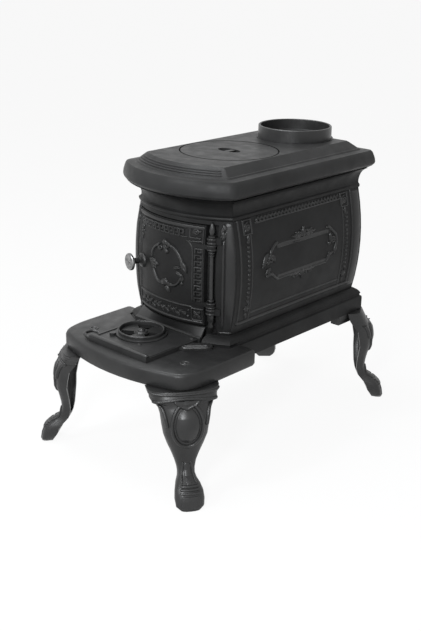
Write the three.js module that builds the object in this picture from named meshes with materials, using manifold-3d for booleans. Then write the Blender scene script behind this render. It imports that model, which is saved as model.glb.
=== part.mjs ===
// A cast-iron box stove: a bulged firebox with a bowed front and a cove cornice, a projecting
// hearth with a swing ash lid and a spin draft, and four hollow cabriole legs.
// Millimetres, +Z up, the feed door looks along -Y, +X is the hinge side of the door.
// The origin lies on the floor, under the middle of the footprint.
import * as THREE from 'three';
import { mergeVertices } from 'three/addons/utils/BufferGeometryUtils.js';
import Module from 'manifold-3d';

const wasm = await Module();
wasm.setup();

// ---- Driving sizes ---------------------------------------------------------------------------

// Clearances
const SEAT_GAP = 0.3;
const RUN_GAP = 0.4;
const DOOR_GAP = 2.5;
const CAST_WALL = 6;
const CUT_MARGIN = 10;

// Heights, stacked from the floor up
const LEG_HEIGHT = 227.6;
const HEARTH_DEPTH = 35;
const BASE_HEIGHT = 53.4;
const PANEL_HEIGHT = 241;
const CORNICE_HEIGHT = 48;
const RIM_HEIGHT = 37.4;
const DECK_RISE = 20.3;
const COLLAR_RISE = 27.6;

// Firebox plan: straight sides and back, front bowed in an arc
const BODY_HALF_WIDTH = 130;
const BODY_CORNER_Y = -147.5;
const BODY_REAR_Y = 287.5;
const FRONT_BOW = 45;
const SIDE_BULGE = 16;
const FRONT_BULGE = 5;
const FRONT_THICKNESS = 20;
const CORNICE_REACH = 22;

// Base moulding
const SKIRT_REACH = 17.5;
const SKIRT_REAR_LEDGE = 3.5;
const SKIRT_WALL = 8;
const BASE_FLOOR = 6;

// Top
const RIM_OVERHANG = 1.5;
const RIM_FRONT_BOW = 57;
const RIM_CORNER_Y = -171;
const RIM_REAR_OVERHANG = 20.5;
const RIM_CORNER_RADIUS = 12;
const BEVEL_FOOT_INSET = 25.5;
const DECK_INSET = 45.5;
const COOK_LID_INSET = 26;
const COOK_LID_Y = -13.5;
const COOK_LID_THICKNESS = 6;
const COOK_LID_GAP = 0.8;
const LID_LEDGE = 9;
const LIFTER_LENGTH = 58;
const LIFTER_WIDTH = 30;
const LIFTER_DEPTH = 13;
const LIFTER_BRIDGE = 12;

// Flue collar for a six-inch pipe
const COLLAR_RADIUS = 82.5;
const COLLAR_WALL = 4.5;
const COLLAR_Y = 210.7;
const COLLAR_SPIGOT = 12;
const FLUE_BOSS_MARGIN = 4;

// Hearth
const HEARTH_OVERHANG = 57.5;
const HEARTH_FRONT_Y = -369;
const HEARTH_REAR_Y = -130;
const HEARTH_BOW = 42;
const HEARTH_CORNER_RADIUS = 70;
const TRAY_DEPTH = 24;

// Feed door
const DOOR_LEFT_INSET = 22;
const DOOR_RIGHT_INSET = 44;
const DOOR_BOTTOM_RISE = 19;
const DOOR_HEIGHT = 211.5;
const DOOR_THICKNESS = 11.5;
const DOOR_SEAT_GAP = 0.5;
const DOOR_LAP = 10;
const HINGE_INSET = 30;
const HINGE_Y = -173.5;
const HINGE_ROD_RADIUS = 4.5;
const KNUCKLE_RADIUS = 9;
const KNUCKLE_HEIGHT = 13;
const STRAP_LENGTH = 16;
const LOWER_LUG_RISE = 45;
const UPPER_LUG_RISE = 195;
const LUG_HEIGHT = 14;

// Latch
const LATCH_INSET = 14;
const LATCH_RISE = 120.5;
const LATCH_TURN = 15;
const SPINDLE_RADIUS = 4.5;
const BOSS_RADIUS = 12;
const BOSS_REACH = 8;
const KNOB_RADIUS = 18.5;
const KNOB_REACH = 29;
const KNOB_THICKNESS = 7;
const CAM_LENGTH = 30;
const CAM_WIDTH = 15;
const CAM_THICKNESS = 5;
const CAM_DEPTH = 25.5;
const LATCH_NUT_RADIUS = 7;
const LATCH_NUT_HEIGHT = 5;

// Swing ash lid on the hearth
const ASH_LID_LEFT_INSET = 42;
const ASH_LID_RIGHT_INSET = 50;
const ASH_LID_FRONT_Y = -339;
const ASH_LID_REAR_Y = -184;
const ASH_LID_THICKNESS = 8;
const ASH_RIM_HEIGHT = 4.5;
const APRON_LEFT_INSET = 25;
const APRON_RIGHT_INSET = 45;
const APRON_HEIGHT = 31;
const APRON_THICKNESS = 5;
const APRON_FOOT_Y = -186;
const APRON_BEAD = 4;
const NOTCH_GAP = 5.5;
const ASH_OPENING_MARGIN = 12;
const PIVOT_INSET = 18;
const PIVOT_Y = -198;
const PIVOT_RADIUS = 4;
const EAR_RADIUS = 13;
const EAR_THICKNESS = 6;
const LOOP_REACH = 24;
const LOOP_SPAN = 30;
const LOOP_RADIUS = 3.5;
const LOOP_RISE = 4;

// Spin draft
const WHEEL_OFFSET = -23;
const WHEEL_Y = -246.5;
const WHEEL_RADIUS = 55;
const WHEEL_RIM_RADIUS = 49;
const WHEEL_PLATE = 3;
const WHEEL_RIM_HEIGHT = 6;
const WHEEL_RIM_WALL = 3.5;
const WHEEL_HUB_RADIUS = 14;
const WINDOW_COUNT = 3;
const WINDOW_SPAN = 56;
const WHEEL_SCREW_RADIUS = 4;
const WHEEL_TAB_REACH = 5;
const WHEEL_TAB_RADIUS = 7;

// Legs: the toe is the outermost point on the floor, the splay counts from the X axis
const FRONT_SPLAY = 35;
const FRONT_TOE_REACH = 40;
const FRONT_TOE_Y = -360.5;
const REAR_SPLAY = 45;
const REAR_TOE_REACH = 58;
const REAR_TOE_BACK = 76.8;
const BRACKET_REACH = 84;
const BRACKET_WIDTH = 22;
const BRACKET_HEIGHT = 22;
const LEG_WALL = 6;
const LEG_BOLT_RADIUS = 4;
const FRONT_BOLT_INSET = 53.5;
const FRONT_BOLT_Y = -284;
const REAR_BOLT_INSET = 30;
const REAR_BOLT_FORWARD = 35.5;
const BOLT_HEAD_RADIUS = 9;
const BOLT_HEAD_HEIGHT = 4.5;
const NUT_RADIUS = 8;
const NUT_HEIGHT = 7;

// Hearth tongues under the base
const TONGUE_INSET = 38;
const TONGUE_WIDTH = 22;
const TONGUE_END_Y = -24;
const TONGUE_THICKNESS = 6;
const TONGUE_BOLT_INSET = 13;

// Tie rods and grate
const TIE_ROD_RADIUS = 4;
const TIE_ROD_INSET = 18;
const TIE_FRONT_Y = -105;
const TIE_REAR_FORWARD = 62.5;
const GRATE_INSET = 40;
const GRATE_LENGTH = 300;
const GRATE_Y = 75;
const GRATE_BAR = 9;
const GRATE_THICKNESS = 12;
const GRATE_FOOT = 18;
const GRATE_BARS = 7;

// Facets
const ARC_STEPS = 12;
const ROUND_STEPS = 16;
const RING_STEPS = 44;

// ---- Derived levels ----------------------------------------------------------------------------

const zHearth = LEG_HEIGHT + HEARTH_DEPTH;
const zBase = LEG_HEIGHT + BASE_HEIGHT;
const zWall = zBase + SEAT_GAP;
const zPanelTop = zBase + PANEL_HEIGHT;
const zWallTop = zPanelTop + CORNICE_HEIGHT;
const zRim = zWallTop + SEAT_GAP;
const zRimTop = zRim + RIM_HEIGHT;
const zDeck = zRimTop + DECK_RISE;
const zCollar = zDeck + COLLAR_RISE;
const zFloorTop = LEG_HEIGHT + BASE_FLOOR;
const zDoor = zBase + DOOR_BOTTOM_RISE;
const zDoorTop = zDoor + DOOR_HEIGHT;
const zLatch = zBase + LATCH_RISE;
const zTieTop = zRimTop - 2;
const zAshLid = zHearth + SEAT_GAP;
const zAshLidTop = zAshLid + ASH_LID_THICKNESS;
const zWheel = zAshLidTop + SEAT_GAP;
const bodyCentreY = BODY_CORNER_Y - FRONT_BOW;
const POCKET_DEPTH = DOOR_THICKNESS + DOOR_SEAT_GAP;

// ---- Derived places across the width -------------------------------------------------------------

const RIM_HALF_WIDTH = BODY_HALF_WIDTH + CORNICE_REACH + RIM_OVERHANG;
const COOK_LID_RADIUS = BODY_HALF_WIDTH - COOK_LID_INSET;
const HEARTH_HALF_WIDTH = BODY_HALF_WIDTH + HEARTH_OVERHANG;
const DOOR_LEFT = DOOR_LEFT_INSET - BODY_HALF_WIDTH;
const DOOR_RIGHT = BODY_HALF_WIDTH - DOOR_RIGHT_INSET;
const HINGE_X = BODY_HALF_WIDTH - HINGE_INSET;
const LATCH_X = DOOR_LEFT + LATCH_INSET;
const ASH_LID_LEFT = ASH_LID_LEFT_INSET - BODY_HALF_WIDTH;
const ASH_LID_RIGHT = BODY_HALF_WIDTH - ASH_LID_RIGHT_INSET;
const APRON_LEFT = APRON_LEFT_INSET - BODY_HALF_WIDTH;
const APRON_RIGHT = BODY_HALF_WIDTH - APRON_RIGHT_INSET;
const PIVOT_X = BODY_HALF_WIDTH - PIVOT_INSET;
const WHEEL_X = (ASH_LID_LEFT + ASH_LID_RIGHT) / 2 + WHEEL_OFFSET;
const FRONT_TOE_X = HEARTH_HALF_WIDTH + FRONT_TOE_REACH;
const REAR_TOE_X = BODY_HALF_WIDTH + REAR_TOE_REACH;
const FRONT_BOLT_X = HEARTH_HALF_WIDTH - FRONT_BOLT_INSET;
const REAR_BOLT_X = BODY_HALF_WIDTH - REAR_BOLT_INSET;
const TONGUE_X = BODY_HALF_WIDTH - TONGUE_INSET;
const TIE_ROD_X = BODY_HALF_WIDTH - TIE_ROD_INSET;
const GRATE_WIDTH = 2 * (BODY_HALF_WIDTH - GRATE_INSET);

// ---- Derived places towards the rear -------------------------------------------------------------

const RIM_REAR_Y = BODY_REAR_Y + RIM_REAR_OVERHANG;
const REAR_BOLT_Y = BODY_REAR_Y - REAR_BOLT_FORWARD;
const REAR_TOE_Y = BODY_REAR_Y + REAR_TOE_BACK;
const TIE_REAR_Y = BODY_REAR_Y - TIE_REAR_FORWARD;

// ---- Materials ---------------------------------------------------------------------------------

const STOVE_BLACK = { color: 0x35363a, roughness: 0.55, metalness: 0.35 };
const FASTENER_BLACK = { color: 0x2c2d30, roughness: 0.5, metalness: 0.5 };
const BRIGHT_NICKEL = { color: 0x8d8f92, roughness: 0.3, metalness: 0.9 };

// ---- Solids and meshes -------------------------------------------------------------------------

function solid(geometry) {
  const bare = geometry.clone();
  bare.deleteAttribute('normal');
  bare.deleteAttribute('uv');
  const merged = mergeVertices(bare, 1e-4);
  const vertProperties = new Float32Array(merged.attributes.position.array);
  const triVerts = new Uint32Array(merged.index.array);
  return new wasm.Manifold(new wasm.Mesh({ numProp: 3, vertProperties, triVerts }));
}

function geometryOf(manifold) {
  const mesh = manifold.getMesh();
  const geometry = new THREE.BufferGeometry();
  geometry.setAttribute('position', new THREE.BufferAttribute(new Float32Array(mesh.vertProperties), 3));
  geometry.setIndex(new THREE.BufferAttribute(new Uint32Array(mesh.triVerts), 1));
  geometry.computeVertexNormals();
  return geometry;
}

function joined(...geometries) {
  return geometryOf(geometries.map(solid).reduce((sum, next) => sum.add(next)));
}

function cut(body, ...tools) {
  return geometryOf(tools.map(solid).reduce((left, tool) => left.subtract(tool), solid(body)));
}

function piece(name, geometry, finish = STOVE_BLACK) {
  const mesh = new THREE.Mesh(geometry, new THREE.MeshStandardMaterial(finish));
  mesh.name = name;
  return mesh;
}

// One numbered piece per spot, each built by the same shape function.
function repeated(name, spots, shape) {
  return spots.map((spot, i) => piece(`${name}_${i + 1}`, shape(...spot), FASTENER_BLACK));
}

function box(x0, x1, y0, y1, z0, z1) {
  const geometry = new THREE.BoxGeometry(x1 - x0, y1 - y0, z1 - z0);
  return geometry.translate((x0 + x1) / 2, (y0 + y1) / 2, (z0 + z1) / 2);
}

// Upright cylinder; top and bottom radii may differ.
function post(x, y, z0, z1, radius, steps = ROUND_STEPS, topRadius = radius) {
  const geometry = new THREE.CylinderGeometry(topRadius, radius, z1 - z0, steps);
  return geometry.rotateX(Math.PI / 2).translate(x, y, (z0 + z1) / 2);
}

// Turned solid: [radius, height] points from the axis round to the axis, turned about Z.
function turned(profile, x, y, z, steps = ROUND_STEPS) {
  const points = profile.map(([radius, height]) => new THREE.Vector2(radius, height));
  return new THREE.LatheGeometry(points, steps).rotateX(Math.PI / 2).translate(x, y, z);
}

// Upright prism on a closed outline of [x, y] points.
function prism(outline, z0, z1) {
  const shape = new THREE.Shape(outline.map(([x, y]) => new THREE.Vector2(x, y)));
  const geometry = new THREE.ExtrudeGeometry(shape, { depth: z1 - z0, bevelEnabled: false });
  return geometry.translate(0, 0, z0);
}

// Closed skin over level rings with equally many points, counter-clockwise seen from above.
function loft(rings) {
  const count = rings[0].length;
  const position = rings.flat(2);
  const index = [];
  for (let level = 0; level < rings.length - 1; level += 1) {
    for (let i = 0; i < count; i += 1) {
      const a = level * count + i;
      const b = level * count + ((i + 1) % count);
      index.push(a, b, b + count, a, b + count, a + count);
    }
  }
  const lastStart = (rings.length - 1) * count;
  for (const [a, b, c] of capFaces(rings[0])) index.push(a, c, b);
  for (const [a, b, c] of capFaces(rings.at(-1))) index.push(a + lastStart, b + lastStart, c + lastStart);
  const geometry = new THREE.BufferGeometry();
  geometry.setAttribute('position', new THREE.Float32BufferAttribute(position, 3));
  geometry.setIndex(index);
  geometry.computeVertexNormals();
  return geometry;
}

// Triangles of a level ring, all counter-clockwise.
function capFaces(ring) {
  const flat = ring.map(([x, y]) => new THREE.Vector2(x, y));
  return THREE.ShapeUtils.triangulateShape(flat, []).map(([a, b, c]) => {
    const [p, q, r] = [flat[a], flat[b], flat[c]];
    const turn = (q.x - p.x) * (r.y - p.y) - (q.y - p.y) * (r.x - p.x);
    return turn > 0 ? [a, b, c] : [a, c, b];
  });
}

function steps(count) {
  return Array.from({ length: count + 1 }, (_, i) => i / count);
}

function mix(a, b, share) {
  return a + (b - a) * share;
}

// Value of a line through [position, value] pairs, straight between them.
function along(pairs, at) {
  const next = pairs.findIndex(([position]) => position >= at);
  if (next <= 0) return pairs[next === 0 ? 0 : pairs.length - 1][1];
  const [p0, v0] = pairs[next - 1];
  const [p1, v1] = pairs[next];
  return mix(v0, v1, (at - p0) / (p1 - p0));
}

// ---- Plan outlines -----------------------------------------------------------------------------

// Y of an arc through (-halfWidth, corner), (0, centre) and (halfWidth, corner).
function bowY(x, { halfWidth, corner, centre }) {
  const rise = corner - centre;
  const radius = (halfWidth ** 2 + rise ** 2) / (2 * rise);
  return centre + radius - Math.sqrt(Math.max(radius ** 2 - x ** 2, 0));
}

// Bowed front from left to right, then the straight sides and back.
function planRing(plan, z, count = ARC_STEPS) {
  const front = steps(count).map((share) => {
    const x = mix(-plan.halfWidth, plan.halfWidth, share);
    return [x, bowY(x, plan), z];
  });
  return [...front, [plan.halfWidth, plan.rear, z], [-plan.halfWidth, plan.rear, z]];
}

// The same outline with each of its four corners rounded off.
function roundedPlanRing(plan, z, radius, rearRadius = radius, cornerSteps = 4) {
  const ring = planRing(plan, z);
  const last = ring.length - 1;
  const reaches = new Map([[0, radius], [last - 2, radius], [last - 1, rearRadius], [last, rearRadius]]);
  return ring.flatMap((point, i) => {
    if (!reaches.has(i)) return [point];
    const before = ring[(i + last) % (last + 1)];
    const after = ring[(i + 1) % (last + 1)];
    return roundedCorner(before, point, after, reaches.get(i), cornerSteps);
  });
}

// Points of a curve that leaves and meets the two edges of a corner at a set reach.
function roundedCorner(before, corner, after, reach, count) {
  const towards = (target) => {
    const dx = target[0] - corner[0];
    const dy = target[1] - corner[1];
    const share = Math.min(reach / Math.hypot(dx, dy), 0.9);
    return [corner[0] + dx * share, corner[1] + dy * share];
  };
  const from = towards(before);
  const to = towards(after);
  return steps(count).map((t) => {
    const x = (1 - t) ** 2 * from[0] + 2 * t * (1 - t) * corner[0] + t ** 2 * to[0];
    const y = (1 - t) ** 2 * from[1] + 2 * t * (1 - t) * corner[1] + t ** 2 * to[1];
    return [x, y, corner[2]];
  });
}

// ---- Firebox walls -----------------------------------------------------------------------------

// Share of the bulge at a height: nothing at the panel's foot and top, all of it half way up.
function bulgeAt(z) {
  const t = (z - zBase) / PANEL_HEIGHT * 2 - 1;
  return Math.max(1 - t ** 2, 0);
}

// Reach of the bead and the cove beyond the panel, by share of the cornice's height.
const CORNICE_LINE = [
  [0, 0], [0.05, 0.11], [0.11, 0.14], [0.17, 0.11], [0.21, 0], [0.25, -0.05],
  [0.38, -0.05], [0.55, 0.04], [0.7, 0.18], [0.82, 0.37], [0.92, 0.66], [1, 1],
];
const PANEL_LEVELS = [0, 0.13, 0.26, 0.38, 0.5, 0.62, 0.74, 0.87];

function wallPlan(z) {
  const reach = along(CORNICE_LINE, (z - zPanelTop) / CORNICE_HEIGHT) * (z > zPanelTop ? CORNICE_REACH : 0);
  const bulge = bulgeAt(z);
  return {
    halfWidth: BODY_HALF_WIDTH + SIDE_BULGE * bulge + reach,
    corner: BODY_CORNER_Y - reach,
    centre: bodyCentreY - FRONT_BULGE * bulge - 1.5 * reach,
    rear: BODY_REAR_Y,
  };
}

function wallLevels() {
  const panel = PANEL_LEVELS.map((share) => mix(zWall, zPanelTop, share));
  const cornice = CORNICE_LINE.map(([share]) => zPanelTop + share * CORNICE_HEIGHT);
  return [...panel, ...cornice];
}

function frontY(x, z) {
  return bowY(x, wallPlan(z));
}

// Bowed slab between two X positions and two depths behind the outer face of the front.
function bowSlab(x0, x1, outer, inner, levels, count = ARC_STEPS) {
  return loft(levels.map((z) => {
    const face = steps(count).map((share) => mix(x0, x1, share));
    const outside = face.map((x) => [x, frontY(x, z) + outer, z]);
    const inside = face.map((x) => [x, frontY(x, z) + inner, z]);
    return [...outside, ...inside.reverse()];
  }));
}

function levelsBetween(z0, z1, count) {
  return steps(count).map((share) => mix(z0, z1, share));
}

function sidePlate(name, side) {
  const rings = wallLevels().map((z) => {
    const plan = wallPlan(z);
    const inner = plan.halfWidth - CAST_WALL;
    const innerFront = bowY(inner, plan) + FRONT_THICKNESS;
    const ring = [
      [plan.halfWidth * side, plan.corner, z],
      [plan.halfWidth * side, plan.rear, z],
      [inner * side, plan.rear - CAST_WALL, z],
      [inner * side, innerFront, z],
    ];
    return side > 0 ? ring : ring.reverse();
  });
  return piece(name, loft(rings));
}

function backPlate() {
  const rings = wallLevels().map((z) => {
    const plan = wallPlan(z);
    const outer = plan.halfWidth - SEAT_GAP * 1.5;
    const inner = plan.halfWidth - CAST_WALL - SEAT_GAP * 1.5;
    return [
      [-inner, plan.rear - CAST_WALL, z],
      [inner, plan.rear - CAST_WALL, z],
      [outer, plan.rear, z],
      [-outer, plan.rear, z],
    ];
  });
  return piece('back_plate', loft(rings));
}

function frontPlate() {
  const rings = wallLevels().map((z) => {
    const plan = wallPlan(z);
    const outer = plan.halfWidth - SEAT_GAP;
    const inner = plan.halfWidth - CAST_WALL - SEAT_GAP;
    const outside = steps(ARC_STEPS).map((share) => mix(-outer, outer, share));
    const inside = steps(ARC_STEPS).map((share) => mix(inner, -inner, share));
    return [
      ...outside.map((x) => [x, bowY(x, plan), z]),
      ...inside.map((x) => [x, bowY(x, plan) + FRONT_THICKNESS, z]),
    ];
  });
  const pocket = bowSlab(DOOR_LEFT - DOOR_GAP, HINGE_X + KNUCKLE_RADIUS, -30, POCKET_DEPTH,
    levelsBetween(zBase - 10, zDoorTop + DOOR_GAP, 11), 20);
  const opening = box(DOOR_LEFT + DOOR_LAP, DOOR_RIGHT - DOOR_LAP, bodyCentreY - 30, BODY_CORNER_Y + 40,
    zDoor + DOOR_LAP, zDoorTop - DOOR_LAP);
  const ashSlot = box(ASH_LID_LEFT + ASH_OPENING_MARGIN, ASH_LID_RIGHT - ASH_OPENING_MARGIN,
    bodyCentreY - 30, BODY_CORNER_Y + 40, zBase - 10, zDoor - DOOR_GAP - CAST_WALL);
  const bare = cut(loft(rings), pocket, opening, ashSlot);
  const lugs = [LOWER_LUG_RISE, UPPER_LUG_RISE].map((rise) => hingeLug(zBase + rise));
  const bore = post(HINGE_X, HINGE_Y, zBase, zPanelTop, HINGE_ROD_RADIUS + RUN_GAP);
  return piece('front_plate', cut(joined(bare, ...lugs), bore));
}

// Lug cast on the corner post: a round eye on the hinge axis with a bracket back to the post.
function hingeLug(z) {
  const eye = post(HINGE_X, HINGE_Y, z, z + LUG_HEIGHT, KNUCKLE_RADIUS);
  const arm = prism([
    [HINGE_X - 2, HINGE_Y - KNUCKLE_RADIUS + 1],
    [HINGE_X + KNUCKLE_RADIUS + 9, HINGE_Y + 8],
    [HINGE_X + KNUCKLE_RADIUS + 9, HINGE_Y + 26],
    [HINGE_X + KNUCKLE_RADIUS + 1, HINGE_Y + 26],
    [HINGE_X + 1, HINGE_Y + KNUCKLE_RADIUS - 1],
  ], z, z + LUG_HEIGHT);
  return joined(eye, arm);
}

// ---- Feed door, hinge and latch ----------------------------------------------------------------

function feedDoor() {
  const levels = levelsBetween(zDoor, zDoorTop, 10);
  const slab = bowSlab(DOOR_LEFT, DOOR_RIGHT, 0, DOOR_THICKNESS, levels);
  const margin = DOOR_LAP + 8;
  const recess = bowSlab(DOOR_LEFT + margin + 8, DOOR_RIGHT - margin, CAST_WALL, DOOR_THICKNESS + 10,
    levelsBetween(zDoor + margin, zDoorTop - margin, 6), 8);
  const knuckles = knuckleLevels().flatMap((z) => {
    const eye = post(HINGE_X, HINGE_Y, z, z + KNUCKLE_HEIGHT, KNUCKLE_RADIUS);
    return [eye, doorStrap(z + 2, z + KNUCKLE_HEIGHT - 2)];
  });
  const bore = post(HINGE_X, HINGE_Y, zBase, zPanelTop, HINGE_ROD_RADIUS + RUN_GAP);
  const boss = latchTurned([
    [0, -6], [BOSS_RADIUS, -6], [BOSS_RADIUS, BOSS_REACH - 3], [BOSS_RADIUS - 4, BOSS_REACH], [0, BOSS_REACH],
  ]);
  const spindleBore = latchTurned([
    [0, -CAM_DEPTH], [SPINDLE_RADIUS + RUN_GAP, -CAM_DEPTH],
    [SPINDLE_RADIUS + RUN_GAP, BOSS_REACH + 5], [0, BOSS_REACH + 5],
  ]);
  return piece('feed_door', cut(joined(cut(slab, recess), ...knuckles, boss), bore, spindleBore));
}

// Strap that carries a knuckle out from the door's face.
function doorStrap(z0, z1) {
  const root = DOOR_RIGHT - STRAP_LENGTH;
  const rise = 1.5;
  return prism([
    [root, frontY(root, z0) - rise], [DOOR_RIGHT + 2, frontY(DOOR_RIGHT, z0) - rise],
    [HINGE_X, HINGE_Y - KNUCKLE_RADIUS * 0.6], [HINGE_X, HINGE_Y], [DOOR_RIGHT, HINGE_Y - 0.5],
    [root, frontY(root, z0) + DOOR_THICKNESS / 2],
  ], z0, z1);
}

// The door's knuckles: one stands on the lower lug, the other hangs just below the upper one.
function knuckleLevels() {
  return [
    zBase + LOWER_LUG_RISE + LUG_HEIGHT + SEAT_GAP,
    zBase + UPPER_LUG_RISE - SEAT_GAP - KNUCKLE_HEIGHT,
  ];
}

function hingeRod() {
  const top = zBase + UPPER_LUG_RISE + LUG_HEIGHT + SEAT_GAP;
  const bottom = zBase + LOWER_LUG_RISE - 10;
  const r = HINGE_ROD_RADIUS;
  const profile = [
    [0, bottom], [r, bottom], [r, top], [r + 3, top], [r + 3, top + 3], [r - 0.5, top + 5], [r + 1.5, top + 12],
    [r + 0.5, top + 20], [r - 2, top + 27], [0, top + 32],
  ];
  return piece('hinge_rod', turned(profile, HINGE_X, HINGE_Y, 0), FASTENER_BLACK);
}

function hingePendant() {
  const top = zBase + LOWER_LUG_RISE - SEAT_GAP;
  const bore = HINGE_ROD_RADIUS + RUN_GAP;
  const profile = [
    [0, top - 38], [2.5, top - 36], [4, top - 30], [6.5, top - 24], [4, top - 18], [7, top - 12], [7, top],
    [bore, top], [bore, top - 10], [0, top - 10],
  ];
  return piece('hinge_pendant', turned(profile, HINGE_X, HINGE_Y, 0), FASTENER_BLACK);
}

// Latch axis: leaves the door's face, turned towards the free edge.
const latchAngle = THREE.MathUtils.degToRad(LATCH_TURN);
const latchFaceY = frontY(LATCH_X, zLatch);

// Turned solid on the latch axis; heights count outwards from the door's face.
function latchTurned(profile, count = ROUND_STEPS) {
  return onLatchAxis(turned(profile, 0, 0, 0, count));
}

function onLatchAxis(geometry) {
  return geometry.rotateX(Math.PI / 2).rotateZ(-latchAngle).translate(LATCH_X, latchFaceY, zLatch);
}

function latchSpindle() {
  const r = SPINDLE_RADIUS;
  const collar = BOSS_REACH + SEAT_GAP;
  const end = -CAM_DEPTH - CAM_THICKNESS - LATCH_NUT_HEIGHT - 2;
  const profile = [
    [0, end], [r - 1, end],
    [r - 1, -CAM_DEPTH], [r, -CAM_DEPTH], [r, collar], [r + 2, collar], [r + 2, KNOB_REACH - 3],
    [r - 1, KNOB_REACH - 3], [r - 1, KNOB_REACH + 3], [0, KNOB_REACH + 3],
  ];
  return piece('latch_spindle', latchTurned(profile), FASTENER_BLACK);
}

function doorKnob() {
  const bore = SPINDLE_RADIUS - 1 + SEAT_GAP;
  const back = KNOB_REACH - 3 + SEAT_GAP;
  const profile = [
    [bore, back], [KNOB_RADIUS - 3, back], [KNOB_RADIUS, back + 2], [KNOB_RADIUS, back + KNOB_THICKNESS - 1.5],
    [KNOB_RADIUS - 1.5, back + KNOB_THICKNESS], [KNOB_RADIUS - 3.5, back + KNOB_THICKNESS - 1.5],
    [0, back + KNOB_THICKNESS - 1], [0, KNOB_REACH + 3 + SEAT_GAP], [bore, KNOB_REACH + 3 + SEAT_GAP],
    [bore, back],
  ];
  return piece('door_knob', latchTurned(profile, 32), BRIGHT_NICKEL);
}

// Tongue that hangs down from the spindle when the latch is open.
function latchCam() {
  const outline = [
    [-CAM_WIDTH / 2, 9], [-CAM_WIDTH / 2, -CAM_LENGTH], [0, -CAM_LENGTH - 4],
    [CAM_WIDTH / 2, -CAM_LENGTH], [CAM_WIDTH / 2, 9],
  ];
  const tongue = prism(outline, -CAM_DEPTH - CAM_THICKNESS, -CAM_DEPTH - SEAT_GAP);
  const bore = post(0, 0, -CAM_DEPTH - 20, -CAM_DEPTH + 20, SPINDLE_RADIUS - 1 + SEAT_GAP);
  return piece('latch_cam', onLatchAxis(cut(tongue, bore)), FASTENER_BLACK);
}

function latchNut() {
  const outer = -CAM_DEPTH - CAM_THICKNESS - SEAT_GAP;
  const blank = hexNut(LATCH_NUT_RADIUS, SPINDLE_RADIUS - 1 + SEAT_GAP, outer - LATCH_NUT_HEIGHT, outer);
  return piece('latch_nut', onLatchAxis(blank), FASTENER_BLACK);
}

// ---- Base and hearth ---------------------------------------------------------------------------

// Reach of the skirt moulding beyond the panel's foot, by height above its lower edge.
const SKIRT_LINE = [
  [0, 1], [0.53, 1], [0.6, 0.96], [0.64, 0.76], [0.7, 0.76], [0.74, 0.84], [0.83, 0.7], [0.92, 0.45],
  [0.97, 0.2], [1, 0.09],
];

function basePlan(reach) {
  return {
    halfWidth: BODY_HALF_WIDTH + reach,
    corner: BODY_CORNER_Y - reach,
    centre: bodyCentreY - reach,
    rear: BODY_REAR_Y + SKIRT_REAR_LEDGE + reach,
  };
}

function basePan() {
  const skirt = loft(SKIRT_LINE.map(([share, reach]) => (
    planRing(basePlan(reach * SKIRT_REACH), LEG_HEIGHT + share * BASE_HEIGHT)
  )));
  const hollowAt = (inset, z) => planRing({
    halfWidth: BODY_HALF_WIDTH - inset,
    corner: BODY_CORNER_Y + FRONT_THICKNESS,
    centre: bodyCentreY + FRONT_THICKNESS,
    rear: BODY_REAR_Y - inset,
  }, z);
  const hollow = loft([
    hollowAt(SKIRT_WALL - SKIRT_REACH, zFloorTop),
    hollowAt(SKIRT_WALL - SKIRT_REACH, LEG_HEIGHT + BASE_HEIGHT * 0.55),
    hollowAt(CAST_WALL + 1, LEG_HEIGHT + BASE_HEIGHT * 0.78),
    hollowAt(CAST_WALL + 1, zBase + 1),
  ]);
  const ashSlot = box(ASH_LID_LEFT + ASH_OPENING_MARGIN, ASH_LID_RIGHT - ASH_OPENING_MARGIN,
    bodyCentreY - SKIRT_REACH - CUT_MARGIN, BODY_CORNER_Y + FRONT_THICKNESS + CUT_MARGIN,
    zHearth - TRAY_DEPTH, zBase + 1);
  const apronNotch = bowSlab(APRON_LEFT - NOTCH_GAP, APRON_RIGHT + NOTCH_GAP, -3 * SKIRT_REACH, POCKET_DEPTH,
    [zHearth - SEAT_GAP, zBase + 1]);
  const holes = [
    ...tieRodSpots().map(([x, y]) => post(x, y, LEG_HEIGHT - 1, zFloorTop + 1, TIE_ROD_RADIUS + RUN_GAP)),
    ...mirrored(REAR_BOLT_X, REAR_BOLT_Y).map(([x, y]) => boltHole(x, y, zFloorTop)),
    ...mirrored(TONGUE_X, TONGUE_END_Y - TONGUE_BOLT_INSET).map(([x, y]) => boltHole(x, y, zFloorTop)),
  ];
  return piece('base_pan', cut(skirt, hollow, ashSlot, apronNotch, ...holes));
}

function mirrored(x, y) {
  return [[-x, y], [x, y]];
}

// Countersunk hole from a top face down through the casting.
function boltHole(x, y, zTop) {
  const shank = LEG_BOLT_RADIUS + RUN_GAP;
  const head = BOLT_HEAD_RADIUS + RUN_GAP;
  const seat = zTop - BOLT_HEAD_HEIGHT;
  const profile = [
    [0, -40], [shank, -40], [shank, seat - zTop], [head, 0], [head, 1], [0, 1],
  ];
  return turned(profile, x, y, zTop);
}

function hearthPlan(inset = 0) {
  return {
    halfWidth: HEARTH_HALF_WIDTH - inset,
    corner: HEARTH_FRONT_Y + HEARTH_BOW + inset,
    centre: HEARTH_FRONT_Y + inset,
    rear: HEARTH_REAR_Y - inset,
  };
}

function hearthRing(inset, z) {
  return roundedPlanRing(hearthPlan(inset), z, HEARTH_CORNER_RADIUS - inset, 6, 6);
}

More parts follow.
